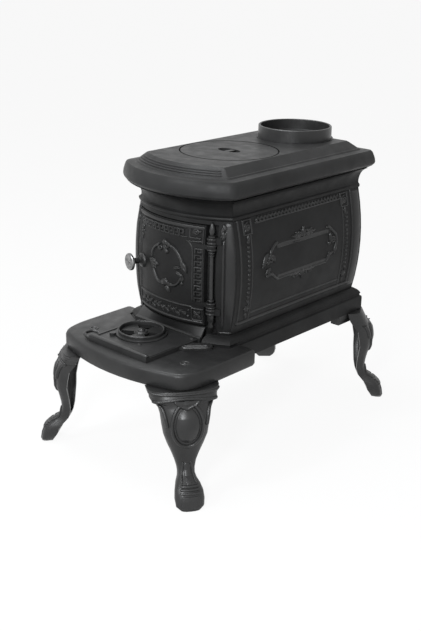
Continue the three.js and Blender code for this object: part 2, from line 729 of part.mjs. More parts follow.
function hearthPlate() {
  const edge = 5;
  const outside = loft([
    hearthRing(edge * 0.5, LEG_HEIGHT), hearthRing(0, LEG_HEIGHT + edge), hearthRing(0, zHearth - edge * 1.4),
    hearthRing(edge * 0.35, zHearth - edge * 0.45), hearthRing(edge, zHearth),
  ]);
  const underside = loft([
    hearthRing(CAST_WALL + edge * 0.5, LEG_HEIGHT - 1), hearthRing(CAST_WALL, zHearth - CAST_WALL),
  ]);
  const left = ASH_LID_LEFT + ASH_OPENING_MARGIN;
  const right = ASH_LID_RIGHT - ASH_OPENING_MARGIN;
  const front = ASH_LID_FRONT_Y + ASH_OPENING_MARGIN;
  const trayFloor = zHearth - TRAY_DEPTH;
  const tray = box(left - CAST_WALL, right + CAST_WALL, front - CAST_WALL, bodyCentreY + SKIRT_REACH,
    trayFloor - CAST_WALL, zHearth - CAST_WALL / 2);
  const trayHollow = box(left, right, front, BODY_CORNER_Y + FRONT_THICKNESS, trayFloor, zHearth + CUT_MARGIN);
  const basePocket = loft([
    planRing(basePlan(SKIRT_REACH + SEAT_GAP), LEG_HEIGHT - 10),
    planRing(basePlan(SKIRT_REACH + SEAT_GAP), zBase + 10),
  ]);
  const tongues = [-1, 1].map((side) => box(
    TONGUE_X * side - TONGUE_WIDTH / 2, TONGUE_X * side + TONGUE_WIDTH / 2, bodyCentreY, TONGUE_END_Y,
    LEG_HEIGHT - SEAT_GAP - TONGUE_THICKNESS, LEG_HEIGHT - SEAT_GAP,
  ));
  const baseFront = bowY(TONGUE_X, basePlan(SKIRT_REACH));
  const webs = [-1, 1].map((side) => box(
    TONGUE_X * side - TONGUE_WIDTH / 2, TONGUE_X * side + TONGUE_WIDTH / 2,
    baseFront - CAST_WALL, baseFront + SKIRT_REACH,
    LEG_HEIGHT - SEAT_GAP - TONGUE_THICKNESS, zHearth - CAST_WALL / 2,
  ));
  const shell = cut(joined(cut(outside, underside), tray, ...webs), basePocket);
  const holes = [
    ...mirrored(FRONT_BOLT_X, FRONT_BOLT_Y).map(([x, y]) => boltHole(x, y, zHearth)),
    ...mirrored(TONGUE_X, TONGUE_END_Y - TONGUE_BOLT_INSET).map(([x, y]) => (
      post(x, y, LEG_HEIGHT - 20, LEG_HEIGHT + 1, LEG_BOLT_RADIUS + RUN_GAP)
    )),
    post(PIVOT_X, PIVOT_Y, zHearth - 20, zHearth + 1, PIVOT_RADIUS + RUN_GAP),
  ];
  return piece('hearth_plate', cut(joined(shell, ...tongues), trayHollow, ...holes));
}

// ---- Swing ash lid and spin draft --------------------------------------------------------------

function ashLid() {
  const plate = box(ASH_LID_LEFT, ASH_LID_RIGHT, ASH_LID_FRONT_Y, ASH_LID_REAR_Y, zAshLid, zAshLidTop);
  const under = box(ASH_LID_LEFT + 8, ASH_LID_RIGHT - 8, ASH_LID_FRONT_Y + 8, ASH_LID_REAR_Y - 4,
    zAshLid - 1, zAshLidTop - 5);
  const rim = box(ASH_LID_LEFT, ASH_LID_RIGHT, ASH_LID_FRONT_Y, ASH_LID_FRONT_Y + 11, zAshLid,
    zAshLidTop + ASH_RIM_HEIGHT);
  const spot = post(PIVOT_X, PIVOT_Y, zAshLid, zAshLid + EAR_THICKNESS, EAR_RADIUS);
  const ear = prism([
    [ASH_LID_RIGHT - 6, ASH_LID_REAR_Y - 62],
    [ASH_LID_RIGHT + 4, ASH_LID_REAR_Y - 60],
    [PIVOT_X + 9.5, PIVOT_Y - 9],
    [PIVOT_X - 9, PIVOT_Y + 9.5],
    [ASH_LID_RIGHT - 6, ASH_LID_REAR_Y - 30],
  ], zAshLid, zAshLid + EAR_THICKNESS);
  const bored = cut(
    joined(cut(plate, under), rim, apron(), spot, ear),
    post(PIVOT_X, PIVOT_Y, zAshLid - 1, zAshLid + EAR_THICKNESS - 2, PIVOT_RADIUS + RUN_GAP),
    ...windows(WHEEL_HUB_RADIUS, WHEEL_RIM_RADIUS - WHEEL_RIM_WALL - 3, zAshLid - 1, zAshLidTop + 1, 0),
    post(WHEEL_X, WHEEL_Y, zAshLid - 1, zAshLidTop + 1, WHEEL_SCREW_RADIUS + RUN_GAP),
    ...rivetSpots().map(([x, y]) => post(x, y, zAshLid - 1, zAshLidTop + 1, 2.5 + SEAT_GAP, 10)),
  );
  return piece('ash_lid', bored);
}

// Apron on the lid's rear edge: a straight beaded foot that rises into the bow of the front.
function apron() {
  const beadTop = zAshLidTop + APRON_BEAD;
  const levels = [
    [zAshLid, APRON_BEAD], [beadTop - 1, APRON_BEAD], [beadTop, APRON_BEAD * 0.7], [beadTop + 1.5, 0],
    [(beadTop + zAshLid + APRON_HEIGHT) / 2, 0], [zAshLid + APRON_HEIGHT, 0],
  ];
  return loft(levels.map(([z, bead]) => {
    const rise = Math.max((z - beadTop) / (zAshLid + APRON_HEIGHT - beadTop), 0);
    const xs = steps(ARC_STEPS).map((share) => mix(APRON_LEFT, APRON_RIGHT, share));
    const face = (x) => mix(APRON_FOOT_Y, bowY(x, wallPlan(zBase)), rise) - bead;
    const back = (x) => Math.min(
      mix(APRON_FOOT_Y, bowY(x, wallPlan(zBase)), rise) + APRON_THICKNESS,
      bowY(x, wallPlan(zBase)) + POCKET_DEPTH - DOOR_GAP,
    );
    return [...xs.map((x) => [x, face(x), z]), ...xs.reverse().map((x) => [x, back(x), z])];
  }));
}

// Sector windows round the draft wheel's axis, between two radii.
function windows(inner, outer, z0, z1, turn) {
  return Array.from({ length: WINDOW_COUNT }, (_, i) => {
    const start = i * 360 / WINDOW_COUNT + turn - WINDOW_SPAN / 2;
    const angles = steps(6).map((share) => THREE.MathUtils.degToRad(start + WINDOW_SPAN * share));
    const at = (radius) => (angle) => [WHEEL_X + radius * Math.cos(angle), WHEEL_Y + radius * Math.sin(angle)];
    return prism([...angles.map(at(outer)), ...angles.slice().reverse().map(at(inner))], z0, z1);
  });
}

function rivetSpots() {
  return [[WHEEL_X + 44, WHEEL_Y - 49], [ASH_LID_RIGHT - 10, ASH_LID_REAR_Y - 12]];
}

function draftWheel() {
  const bore = WHEEL_SCREW_RADIUS + RUN_GAP;
  const rimTop = WHEEL_PLATE + WHEEL_RIM_HEIGHT;
  const inside = WHEEL_RIM_RADIUS - WHEEL_RIM_WALL;
  const profile = [
    [bore, 0], [WHEEL_RADIUS - 1, 0], [WHEEL_RADIUS, 1], [WHEEL_RADIUS - 0.5, WHEEL_PLATE],
    [WHEEL_RIM_RADIUS, WHEEL_PLATE + 0.5], [WHEEL_RIM_RADIUS, rimTop - 1], [WHEEL_RIM_RADIUS - 1, rimTop],
    [inside + 0.5, rimTop], [inside, rimTop - 1], [inside, WHEEL_PLATE], [WHEEL_HUB_RADIUS, WHEEL_PLATE],
    [WHEEL_HUB_RADIUS - 2, WHEEL_PLATE + 3], [bore, WHEEL_PLATE + 3], [bore, 0],
  ];
  const dish = turned(profile, WHEEL_X, WHEEL_Y, zWheel, RING_STEPS);
  const tabAngle = THREE.MathUtils.degToRad(233);
  const tabCentre = WHEEL_RADIUS + WHEEL_TAB_REACH;
  const tab = post(WHEEL_X + tabCentre * Math.cos(tabAngle), WHEEL_Y + tabCentre * Math.sin(tabAngle),
    zWheel, zWheel + WHEEL_PLATE + 2, WHEEL_TAB_RADIUS, 14);
  const openings = windows(WHEEL_HUB_RADIUS + 2, inside - 3, zWheel - 1, zWheel + WHEEL_PLATE + 1, 0);
  return piece('draft_wheel', cut(joined(dish, tab), ...openings));
}

function draftWheelScrew() {
  const head = zWheel + WHEEL_PLATE + 3 + SEAT_GAP;
  const r = WHEEL_SCREW_RADIUS;
  const profile = [
    [0, zAshLid + 2], [r, zAshLid + 2], [r, head], [r + 3.5, head], [r + 3, head + 2], [r, head + 3.5], [0, head + 4],
  ];
  return piece('draft_wheel_screw', turned(profile, WHEEL_X, WHEEL_Y, 0), FASTENER_BLACK);
}

function ashLidRivets() {
  return repeated('ash_lid_rivet', rivetSpots(), (x, y) => turned([
    [0, zAshLid + 1], [2.5, zAshLid + 1], [2.5, zAshLidTop + SEAT_GAP], [4.5, zAshLidTop + SEAT_GAP],
    [3.5, zAshLidTop + 2.2], [0, zAshLidTop + 3],
  ], x, y, 0, 10));
}

function ashLidPivot() {
  const top = zAshLid + EAR_THICKNESS - 2 - SEAT_GAP;
  const under = zHearth - CAST_WALL - SEAT_GAP;
  const profile = [
    [0, under - 4], [PIVOT_RADIUS + 4, under - 4], [PIVOT_RADIUS + 4, under], [PIVOT_RADIUS, under],
    [PIVOT_RADIUS, top], [0, top],
  ];
  return piece('ash_lid_pivot', turned(profile, PIVOT_X, PIVOT_Y, 0), FASTENER_BLACK);
}

// Loop at the lid's front left corner: a bent bar with both feet against the lid's edge.
function ashLidHandle() {
  const z = zAshLid + ASH_LID_THICKNESS / 2;
  const x = ASH_LID_LEFT - SEAT_GAP;
  const front = ASH_LID_FRONT_Y + LOOP_RADIUS + 1;
  const rear = front + LOOP_SPAN;
  const route = new THREE.CatmullRomCurve3([
    new THREE.Vector3(x, front, z),
    new THREE.Vector3(x - LOOP_REACH * 0.45, front, z + LOOP_RISE * 0.6),
    new THREE.Vector3(x - LOOP_REACH * 0.9, front + LOOP_SPAN * 0.12, z + LOOP_RISE),
    new THREE.Vector3(x - LOOP_REACH, front + LOOP_SPAN * 0.5, z + LOOP_RISE),
    new THREE.Vector3(x - LOOP_REACH * 0.9, rear - LOOP_SPAN * 0.12, z + LOOP_RISE),
    new THREE.Vector3(x - LOOP_REACH * 0.45, rear, z + LOOP_RISE * 0.6),
    new THREE.Vector3(x, rear, z),
  ], false, 'centripetal');
  const section = new THREE.Shape(steps(9).map((share) => {
    const angle = share * 0.9 * 2 * Math.PI;
    return new THREE.Vector2(LOOP_RADIUS * Math.cos(angle), LOOP_RADIUS * Math.sin(angle));
  }));
  const bar = new THREE.ExtrudeGeometry(section, { steps: 18, bevelEnabled: false, extrudePath: route });
  const beyondEdge = box(x, x + 20, front - 20, rear + 20, z - 20, z + 20);
  return piece('ash_lid_handle', cut(bar, beyondEdge));
}

// ---- Legs --------------------------------------------------------------------------------------

// Leg sections by height: [height, outer face, back edge, half width, heel taper], the faces
// measured along the splay from the toe, outwards positive.
const LEG_LINE = [
  [0, 0, -27, 27, 0.45], [7, -1, -31, 37, 0.42], [20, -3, -40, 38, 0.36], [34, -8, -45, 35, 0.3],
  [43, -16.5, -51.4, 29.5, 0.25], [51, -26.5, -58.7, 22.1, 0.18], [58, -38, -64.6, 18.6, 0.1],
  [68, -44, -68.1, 18.8, 0.05], [82, -48, -70.5, 21.8, 0], [98, -47.3, -71, 27.8, 0], [118, -44.5, -71, 36.4, 0],
  [140, -39.5, -70, 43.8, 0], [160, -38.8, -73.5, 46.9, 0], [180, -41.2, -78.5, 49, 0], [196, -47.5, -91, 53, 0],
  [203, -51.5, -95, 55, 0], [207, -52.5, -97, 67, 0], [215, -55.3, -101.5, 67.5, 0], [218, -57.5, -104, 70.5, 0],
  [227.3, -62, -110, 73.3, 0],
];
const REAR_LEG_LINE = [
  ...LEG_LINE.slice(0, 15), [210, -55, -100, 54, 0], [227.3, -64, -106, 50, 0],
];
const LEG_HOLLOW_FROM = 62;
const LEG_LID = 7;
const LEG_STEPS = 12;
const LEG_CROWN = 85;
const LEG_PAD_RADIUS = 14;

// D-shaped section: a round outer face and a flat back, narrower at the heel by the taper.
function legRing([height, face, back, half, taper], inset, backReach) {
  const depth = face - back - inset;
  return steps(LEG_STEPS).map((share) => {
    const angle = mix(-Math.PI / 2, Math.PI / 2, share);
    const atBack = share === 0 || share === 1;
    const inward = atBack ? 1 : 1 - Math.abs(Math.cos(angle)) ** 0.62;
    const across = Math.sign(Math.sin(angle)) * Math.abs(Math.sin(angle)) ** 0.8 * (1 - taper * inward);
    return [atBack ? back - backReach : face - inset - depth * inward, across * (half - inset), height];
  });
}

function legSolid(legLine) {
  const scale = (LEG_HEIGHT - SEAT_GAP) / legLine.at(-1)[0];
  const lines = legLine.map(([height, ...rest]) => [height * scale, ...rest]);
  const outside = loft(lines.map((line) => legRing(line, 0, 0)));
  const lid = LEG_HEIGHT - SEAT_GAP - LEG_LID;
  const hollowLines = lines.filter(([height]) => height > LEG_HOLLOW_FROM && height < lid);
  const hollow = loft([
    ...hollowLines.map((line) => legRing(line, LEG_WALL, 20)),
    legRing([lid, ...lines.at(-1).slice(1)], LEG_WALL, 20),
  ]);
  return cut(outside, hollow);
}

// Corner band of a rear leg: two wings that hug the base's side and rear edges.
function rearBracket(sideX) {
  const top = LEG_HEIGHT - SEAT_GAP;
  const band = (inset, z0, z1) => {
    const x = basePlan(SKIRT_REACH).halfWidth - inset;
    const y = basePlan(SKIRT_REACH).rear - inset;
    const reach = BRACKET_REACH - inset;
    const outline = [
      [x, y], [x - reach, y], [x - reach, y - BRACKET_WIDTH], [x - 2 * BRACKET_WIDTH, y - 1.5 * BRACKET_WIDTH],
      [x - 1.5 * BRACKET_WIDTH, y - 2 * BRACKET_WIDTH], [x - BRACKET_WIDTH, y - reach], [x, y - reach],
    ];
    return prism(outline.map(([px, py]) => [px * sideX, py]), z0, z1);
  };
  const step = top - BRACKET_HEIGHT / 2;
  return joined(band(1, step - 0.5, top), band(4, top - BRACKET_HEIGHT, step));
}

// Leg placed under a corner, with a tongue that takes the bolt.
function leg(name, corner) {
  const splay = THREE.MathUtils.degToRad(corner.splay);
  const out = [Math.cos(splay) * corner.sideX, Math.sin(splay) * Math.sign(corner.toeY)];
  const toe = [corner.toeX * corner.sideX, corner.toeY];
  const body = legSolid(corner.lines).rotateZ(Math.atan2(out[1], out[0])).translate(toe[0], toe[1], 0);
  const top = LEG_HEIGHT - SEAT_GAP;
  const crown = [toe[0] - LEG_CROWN * out[0], toe[1] - LEG_CROWN * out[1]];
  const spot = [corner.boltX * corner.sideX, corner.boltY];
  const run = new THREE.Vector2(spot[0] - crown[0], spot[1] - crown[1]).normalize().multiplyScalar(LEG_PAD_RADIUS);
  const tongue = prism([
    [crown[0] + run.y, crown[1] - run.x], [spot[0] + run.y, spot[1] - run.x],
    [spot[0] - run.y, spot[1] + run.x], [crown[0] - run.y, crown[1] + run.x],
  ], top - LEG_LID, top);
  const pad = post(spot[0], spot[1], top - LEG_LID, corner.padTop, LEG_PAD_RADIUS);
  const hole = post(spot[0], spot[1], top - LEG_LID - 5, corner.padTop + 5, LEG_BOLT_RADIUS + RUN_GAP);
  const extras = corner.bracket ? [rearBracket(corner.sideX)] : [];
  return piece(name, cut(joined(body, tongue, pad, ...extras), hole));
}

function legs() {
  const front = {
    toeX: FRONT_TOE_X, toeY: FRONT_TOE_Y, splay: FRONT_SPLAY, boltX: FRONT_BOLT_X, boltY: FRONT_BOLT_Y,
    padTop: zHearth - CAST_WALL - SEAT_GAP, lines: LEG_LINE, bracket: false,
  };
  const rear = {
    toeX: REAR_TOE_X, toeY: REAR_TOE_Y, splay: REAR_SPLAY, boltX: REAR_BOLT_X, boltY: REAR_BOLT_Y,
    padTop: LEG_HEIGHT - SEAT_GAP, lines: REAR_LEG_LINE, bracket: true,
  };
  return [
    leg('leg_front_left', { ...front, sideX: -1 }),
    leg('leg_front_right', { ...front, sideX: 1 }),
    leg('leg_rear_left', { ...rear, sideX: -1 }),
    leg('leg_rear_right', { ...rear, sideX: 1 }),
  ];
}

// ---- Fasteners ---------------------------------------------------------------------------------

function countersunkBolt(x, y, zTop, zEnd) {
  const profile = [
    [0, zEnd], [LEG_BOLT_RADIUS, zEnd], [LEG_BOLT_RADIUS, zTop - BOLT_HEAD_HEIGHT - SEAT_GAP],
    [BOLT_HEAD_RADIUS, zTop - SEAT_GAP], [0, zTop - SEAT_GAP],
  ];
  return turned(profile, x, y, 0);
}

function nut(x, y, zTop) {
  return hexNut(NUT_RADIUS, LEG_BOLT_RADIUS + SEAT_GAP, -NUT_HEIGHT, 0).translate(x, y, zTop);
}

// Hexagonal nut about the Z axis.
function hexNut(radius, bore, z0, z1) {
  return cut(post(0, 0, z0, z1, radius, 6), post(0, 0, z0 - 1, z1 + 1, bore));
}

function legFasteners() {
  const seat = LEG_HEIGHT - SEAT_GAP - LEG_LID;
  const end = seat - NUT_HEIGHT - 3;
  const spots = [
    ...mirrored(FRONT_BOLT_X, FRONT_BOLT_Y).map(([x, y]) => [x, y, zHearth]),
    ...mirrored(REAR_BOLT_X, REAR_BOLT_Y).map(([x, y]) => [x, y, zFloorTop]),
  ];
  return [
    ...repeated('leg_bolt', spots, (x, y, top) => countersunkBolt(x, y, top, end)),
    ...repeated('leg_nut', spots, (x, y) => nut(x, y, seat - SEAT_GAP)),
  ];
}

function hearthFasteners() {
  const spots = mirrored(TONGUE_X, TONGUE_END_Y - TONGUE_BOLT_INSET);
  const seat = LEG_HEIGHT - SEAT_GAP - TONGUE_THICKNESS;
  const end = seat - NUT_HEIGHT - 2;
  return [
    ...repeated('hearth_bolt', spots, (x, y) => countersunkBolt(x, y, zFloorTop, end)),
    ...repeated('hearth_nut', spots, (x, y) => nut(x, y, seat - SEAT_GAP)),
  ];
}

function tieRodSpots() {
  return [...mirrored(TIE_ROD_X, TIE_FRONT_Y), ...mirrored(TIE_ROD_X, TIE_REAR_Y)];
}

function tieFasteners() {
  const seat = LEG_HEIGHT - SEAT_GAP;
  return [
    ...repeated('tie_rod', tieRodSpots(), (x, y) => post(x, y, seat - NUT_HEIGHT - 2, zTieTop, TIE_ROD_RADIUS, 10)),
    ...repeated('tie_rod_nut', tieRodSpots(), (x, y) => nut(x, y, seat)),
  ];
}

// ---- Top, lid and collar -----------------------------------------------------------------------

function topPlan(inset) {
  const rim = { halfWidth: RIM_HALF_WIDTH, corner: RIM_CORNER_Y, centre: RIM_CORNER_Y - RIM_FRONT_BOW };
  const radius = (rim.halfWidth ** 2 + RIM_FRONT_BOW ** 2) / (2 * RIM_FRONT_BOW);
  const middle = rim.centre + radius;
  const halfWidth = rim.halfWidth - inset;
  return {
    halfWidth,
    corner: middle - Math.sqrt((radius - inset) ** 2 - halfWidth ** 2),
    centre: rim.centre + inset,
    rear: RIM_REAR_Y - inset,
  };
}

function topRing(inset, z, radius = RIM_CORNER_RADIUS) {
  return roundedPlanRing(topPlan(inset), z, Math.max(radius - inset * 0.2, 2), Math.max(radius - inset * 0.2, 2), 3);
}

function topPlate() {
  const outside = loft([
    topRing(5, zRim), topRing(0, zRim + 3), topRing(-4, zRim + 8), topRing(-5, zRim + 12), topRing(-4, zRim + 20),
    topRing(-1.5, zRimTop - 9), topRing(0.8, zRimTop - 3), topRing(3.5, zRimTop),
    topRing(BEVEL_FOOT_INSET - 5, zRimTop + 1.5), topRing(BEVEL_FOOT_INSET - 2.5, zRimTop + 4),
    topRing(BEVEL_FOOT_INSET, zRimTop + 4.6), topRing(DECK_INSET - 4, zDeck - 2.5), topRing(DECK_INSET, zDeck),
  ]);
  const inside = loft([
    topRing(CAST_WALL + 4, zRim - 1), topRing(CAST_WALL + 1, zRim + 12), topRing(CAST_WALL + 4, zRimTop - CAST_WALL),
    topRing(BEVEL_FOOT_INSET + 1, zRimTop - CAST_WALL + 1), topRing(DECK_INSET + 3, zDeck - CAST_WALL),
  ]);
  const ledge = post(0, COOK_LID_Y, zDeck - COOK_LID_THICKNESS - CAST_WALL, zDeck - 1, COOK_LID_RADIUS + 2, RING_STEPS);
  const flueBoss = post(0, COLLAR_Y, zRimTop - CAST_WALL, zDeck + 1, COLLAR_RADIUS + FLUE_BOSS_MARGIN, RING_STEPS);
  const tieBosses = tieRodSpots().map(([x, y]) => (
    post(x, y, zTieTop - CAST_WALL, zTieTop + CAST_WALL + 5, TIE_ROD_RADIUS + CAST_WALL, 12)
  ));
  const cookHole = post(0, COOK_LID_Y, zDeck - COOK_LID_THICKNESS - SEAT_GAP, zDeck + 5,
    COOK_LID_RADIUS + COOK_LID_GAP, RING_STEPS);
  const cookThrough = post(0, COOK_LID_Y, zRim, zDeck + 5, COOK_LID_RADIUS - LID_LEDGE, RING_STEPS);
  const flueHole = post(0, COLLAR_Y, zRim, zDeck + 5, COLLAR_RADIUS - COLLAR_WALL + RUN_GAP, RING_STEPS);
  const tieHoles = tieRodSpots().map(([x, y]) => (
    post(x, y, zRim, zTieTop + SEAT_GAP, TIE_ROD_RADIUS + RUN_GAP, 12)
  ));
  const shell = joined(cut(outside, inside), ledge, flueBoss, ...tieBosses);
  return piece('top_plate', cut(shell, cookHole, cookThrough, flueHole, ...tieHoles));
}

function cookLid() {
  const under = zDeck - COOK_LID_THICKNESS;
  const disc = turned([
    [0, under], [COOK_LID_RADIUS, under], [COOK_LID_RADIUS, zDeck - 1], [COOK_LID_RADIUS - 1, zDeck], [0, zDeck],
  ], 0, COOK_LID_Y, 0, RING_STEPS);
  const spigotOuter = COOK_LID_RADIUS - LID_LEDGE - COOK_LID_GAP;
  const spigot = cut(
    post(0, COOK_LID_Y, under - 5, under + 1, spigotOuter, RING_STEPS),
    post(0, COOK_LID_Y, under - 6, under + 2, spigotOuter - CAST_WALL, RING_STEPS),
  );
  const cup = slot(LIFTER_LENGTH + 10, LIFTER_WIDTH + 10, zDeck - LIFTER_DEPTH - 4, under + 1);
  const recess = slot(LIFTER_LENGTH, LIFTER_WIDTH, zDeck - LIFTER_DEPTH, zDeck + 1);
  const bridge = box(-LIFTER_BRIDGE / 2, LIFTER_BRIDGE / 2, COOK_LID_Y - LIFTER_WIDTH / 2 - 1,
    COOK_LID_Y + LIFTER_WIDTH / 2 + 1, zDeck - 5, zDeck - 1);
  return piece('cook_lid', joined(cut(joined(disc, spigot, cup), recess), bridge));
}

// Oval prism on the cook lid's centre, long along X.
function slot(length, width, z0, z1) {
  const outline = steps(23).map((share) => {
    const angle = share * 23 / 24 * 2 * Math.PI;
    return [Math.cos(angle) * length / 2, COOK_LID_Y + Math.sin(angle) * width / 2];
  });
  return prism(outline, z0, z1);
}

function flueCollar() {
  const outer = COLLAR_RADIUS;
  const inner = COLLAR_RADIUS - COLLAR_WALL * 2;
  const spigot = COLLAR_RADIUS - COLLAR_WALL;
  const seat = zDeck + 1 + SEAT_GAP;
  const profile = [
    [inner, seat - COLLAR_SPIGOT], [spigot, seat - COLLAR_SPIGOT], [spigot, seat], [outer + 0.5, seat],
    [outer, zCollar - 1], [outer - 1, zCollar], [outer - COLLAR_WALL + 1, zCollar], [outer - COLLAR_WALL, zCollar - 1],
    [outer - COLLAR_WALL, seat + 4], [inner, seat + 2], [inner, seat - COLLAR_SPIGOT],
  ];
  return piece('flue_collar', turned(profile, 0, COLLAR_Y, 0, RING_STEPS));
}

// ---- Grate -------------------------------------------------------------------------------------

function fireGrate() {
  const x0 = -GRATE_WIDTH / 2;
  const y0 = GRATE_Y - GRATE_LENGTH / 2;
  const z0 = zFloorTop + SEAT_GAP + GRATE_FOOT;
  const z1 = z0 + GRATE_THICKNESS;
  const pitch = (GRATE_WIDTH - GRATE_BAR) / (GRATE_BARS - 1);
  const bars = Array.from({ length: GRATE_BARS }, (_, i) => (
    box(x0 + i * pitch, x0 + i * pitch + GRATE_BAR, y0, y0 + GRATE_LENGTH, z0, z1)
  ));
  const rails = [0, (GRATE_LENGTH - GRATE_BAR) / 2, GRATE_LENGTH - GRATE_BAR].map((offset) => (
    box(x0, x0 + GRATE_WIDTH, y0 + offset, y0 + offset + GRATE_BAR, z0, z1)
  ));
  const feet = [x0, x0 + GRATE_WIDTH - GRATE_BAR].flatMap((x) => [y0, y0 + GRATE_LENGTH - GRATE_BAR].map((y) => (
    box(x, x + GRATE_BAR, y, y + GRATE_BAR, z0 - GRATE_FOOT, z0 + 1)
  )));
  return piece('fire_grate', joined(...bars, ...rails, ...feet));
}

// ---- Assembly ----------------------------------------------------------------------------------

const stove = new THREE.Group();
stove.add(
  basePan(), hearthPlate(), ...legs(), ...legFasteners(), ...hearthFasteners(),
  frontPlate(), sidePlate('side_plate_left', -1), sidePlate('side_plate_right', 1), backPlate(),
  topPlate(), ...tieFasteners(), flueCollar(), cookLid(), fireGrate(),
);

const door = new THREE.Group();
door.add(feedDoor(), latchSpindle(), doorKnob(), latchCam(), latchNut());
stove.add(door, hingeRod(), hingePendant());

const swingLid = new THREE.Group();
swingLid.add(ashLid(), ashLidHandle(), ...ashLidRivets(), draftWheel(), draftWheelScrew());
stove.add(swingLid, ashLidPivot());

export default stove;
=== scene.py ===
"""Looks of a cast-iron box stove: smooth castings with cast-in relief, satin black stove paint,
a bright nickel knob, and the photograph's view.

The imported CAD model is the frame. Castings are merged, smooth-shaded copies that stand for
their CAD nodes; relief is laid on the same curved walls, given by the sizes named here, which
were read off the frame's boxes. Sizes of the stove are millimetres and angles are degrees;
meshes are written in metres, and the lamps' places are metres.
"""

from __future__ import annotations

import logging
import math
from dataclasses import dataclass
from enum import Enum
from typing import Callable, Iterable, Sequence

import bpy
import numpy as np
from mathutils import Matrix

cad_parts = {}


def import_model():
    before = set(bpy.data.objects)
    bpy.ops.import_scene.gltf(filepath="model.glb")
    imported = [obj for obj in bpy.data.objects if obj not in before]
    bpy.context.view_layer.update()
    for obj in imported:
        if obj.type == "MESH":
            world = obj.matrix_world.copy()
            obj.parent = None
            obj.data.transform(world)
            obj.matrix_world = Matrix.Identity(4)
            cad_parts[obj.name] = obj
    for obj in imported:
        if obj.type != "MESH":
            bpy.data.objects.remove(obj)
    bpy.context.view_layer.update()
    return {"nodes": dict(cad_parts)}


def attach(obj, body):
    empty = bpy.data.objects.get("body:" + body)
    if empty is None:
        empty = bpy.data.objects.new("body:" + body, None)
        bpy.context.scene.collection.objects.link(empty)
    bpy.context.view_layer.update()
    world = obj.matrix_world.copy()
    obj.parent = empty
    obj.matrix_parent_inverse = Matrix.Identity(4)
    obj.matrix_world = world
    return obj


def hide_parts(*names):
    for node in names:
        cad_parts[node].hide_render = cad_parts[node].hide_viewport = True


LOG = logging.getLogger("box_stove")
MM = 0.001
WELD = 2e-5  # corners nearer than this are one, in metres
RELIEF_SHARP = 60.0
RING_SHARP = 50.0
EDGE_RISE = 0.3  # relief lower than this dives under its wall
LEAST_RISE = 0.02  # relief lower than this is left out
Array = np.ndarray
Thing = bpy.types.Object
Material = bpy.types.Material
Point = tuple[float, float]
SurfaceFn = Callable[[Array, Array], Array]
HeightFn = Callable[[Array, Array], Array]


class Side(Enum):
    """The two sides of the stove, by the sign of X."""

    LEFT = -1
    RIGHT = 1


class Body(Enum):
    """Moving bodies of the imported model."""

    STOVE = "stove"
    DOOR = "door"
    LATCH = "latch"
    ASH_LID = "ash_lid"
    DRAFT = "draft"
    COOK_LID = "cook_lid"


# ---- Materials ----


def new_material(name: str) -> tuple[Material, bpy.types.Node]:
    """A material with one Principled shader.

    Args:
        name: Its name.

    Returns:
        The material and its shader.
    """
    material = bpy.data.materials.new(name)
    material.use_nodes = True
    return material, material.node_tree.nodes["Principled BSDF"]


def noise(material: Material, scale: float, detail: float = 3.0) -> bpy.types.Node:
    """A noise texture on Object coordinates, which are metres.

    Args:
        material: Material that gets the node.
        scale: Cells to the metre.
        detail: Octaves of finer noise.

    Returns:
        The noise node.
    """
    nodes, links = material.node_tree.nodes, material.node_tree.links
    place = nodes.new("ShaderNodeTexCoord")
    texture = nodes.new("ShaderNodeTexNoise")
    texture.inputs["Scale"].default_value = scale
    texture.inputs["Detail"].default_value = detail
    links.new(place.outputs["Object"], texture.inputs["Vector"])
    return texture


def ramp(
    material: Material, source: bpy.types.Node, low: tuple[float, float], high: tuple[float, float],
    target: bpy.types.NodeSocket,
) -> None:
    """A ramp of greys from a noise to a socket of the shader.

    Args:
        material: Material that gets the node.
        source: Noise that drives it.
        low: Position and grey of the lower stop.
        high: Position and grey of the upper stop.
        target: Socket that the ramp feeds.
    """
    node = material.node_tree.nodes.new("ShaderNodeValToRGB")
    for element, (position, grey) in zip(node.color_ramp.elements, (low, high)):
        element.position = position
        element.color = (grey, grey, grey, 1.0)
    links = material.node_tree.links
    links.new(source.outputs["Fac"], node.inputs["Fac"])
    links.new(node.outputs["Color"], target)


@dataclass(frozen=True)
class CastPaint:
    """Stove paint over sand-cast iron: uneven grey-black, satin, with the sand's fine grain."""

    name: str
    dark: float
    light: float
    roughness: float
    specular: float
    cloud_scale: float = 14.0
    patch_scale: float = 45.0
    grain_scale: float = 620.0
    grain_depth: float = 0.00034
    grain_strength: float = 0.55

    def make(self) -> Material:
        """Builds the material.

        Returns:
            The finished material.
        """
        material, shader = new_material(self.name)
        links = material.node_tree.links
        cloud = noise(material, self.cloud_scale, 4.0)
        ramp(material, cloud, (0.32, self.dark), (0.68, self.light), shader.inputs["Base Color"])
        patches = noise(material, self.patch_scale, 3.0)
        smooth, dull = self.roughness - 0.05, self.roughness + 0.08
        ramp(material, patches, (0.3, smooth), (0.7, dull), shader.inputs["Roughness"])
        grain = noise(material, self.grain_scale, 2.0)
        bump = material.node_tree.nodes.new("ShaderNodeBump")
        bump.inputs["Distance"].default_value = self.grain_depth
        bump.inputs["Strength"].default_value = self.grain_strength
        links.new(grain.outputs["Fac"], bump.inputs["Height"])
        links.new(bump.outputs["Normal"], shader.inputs["Normal"])
        shader.inputs["Specular IOR Level"].default_value = self.specular
        return material


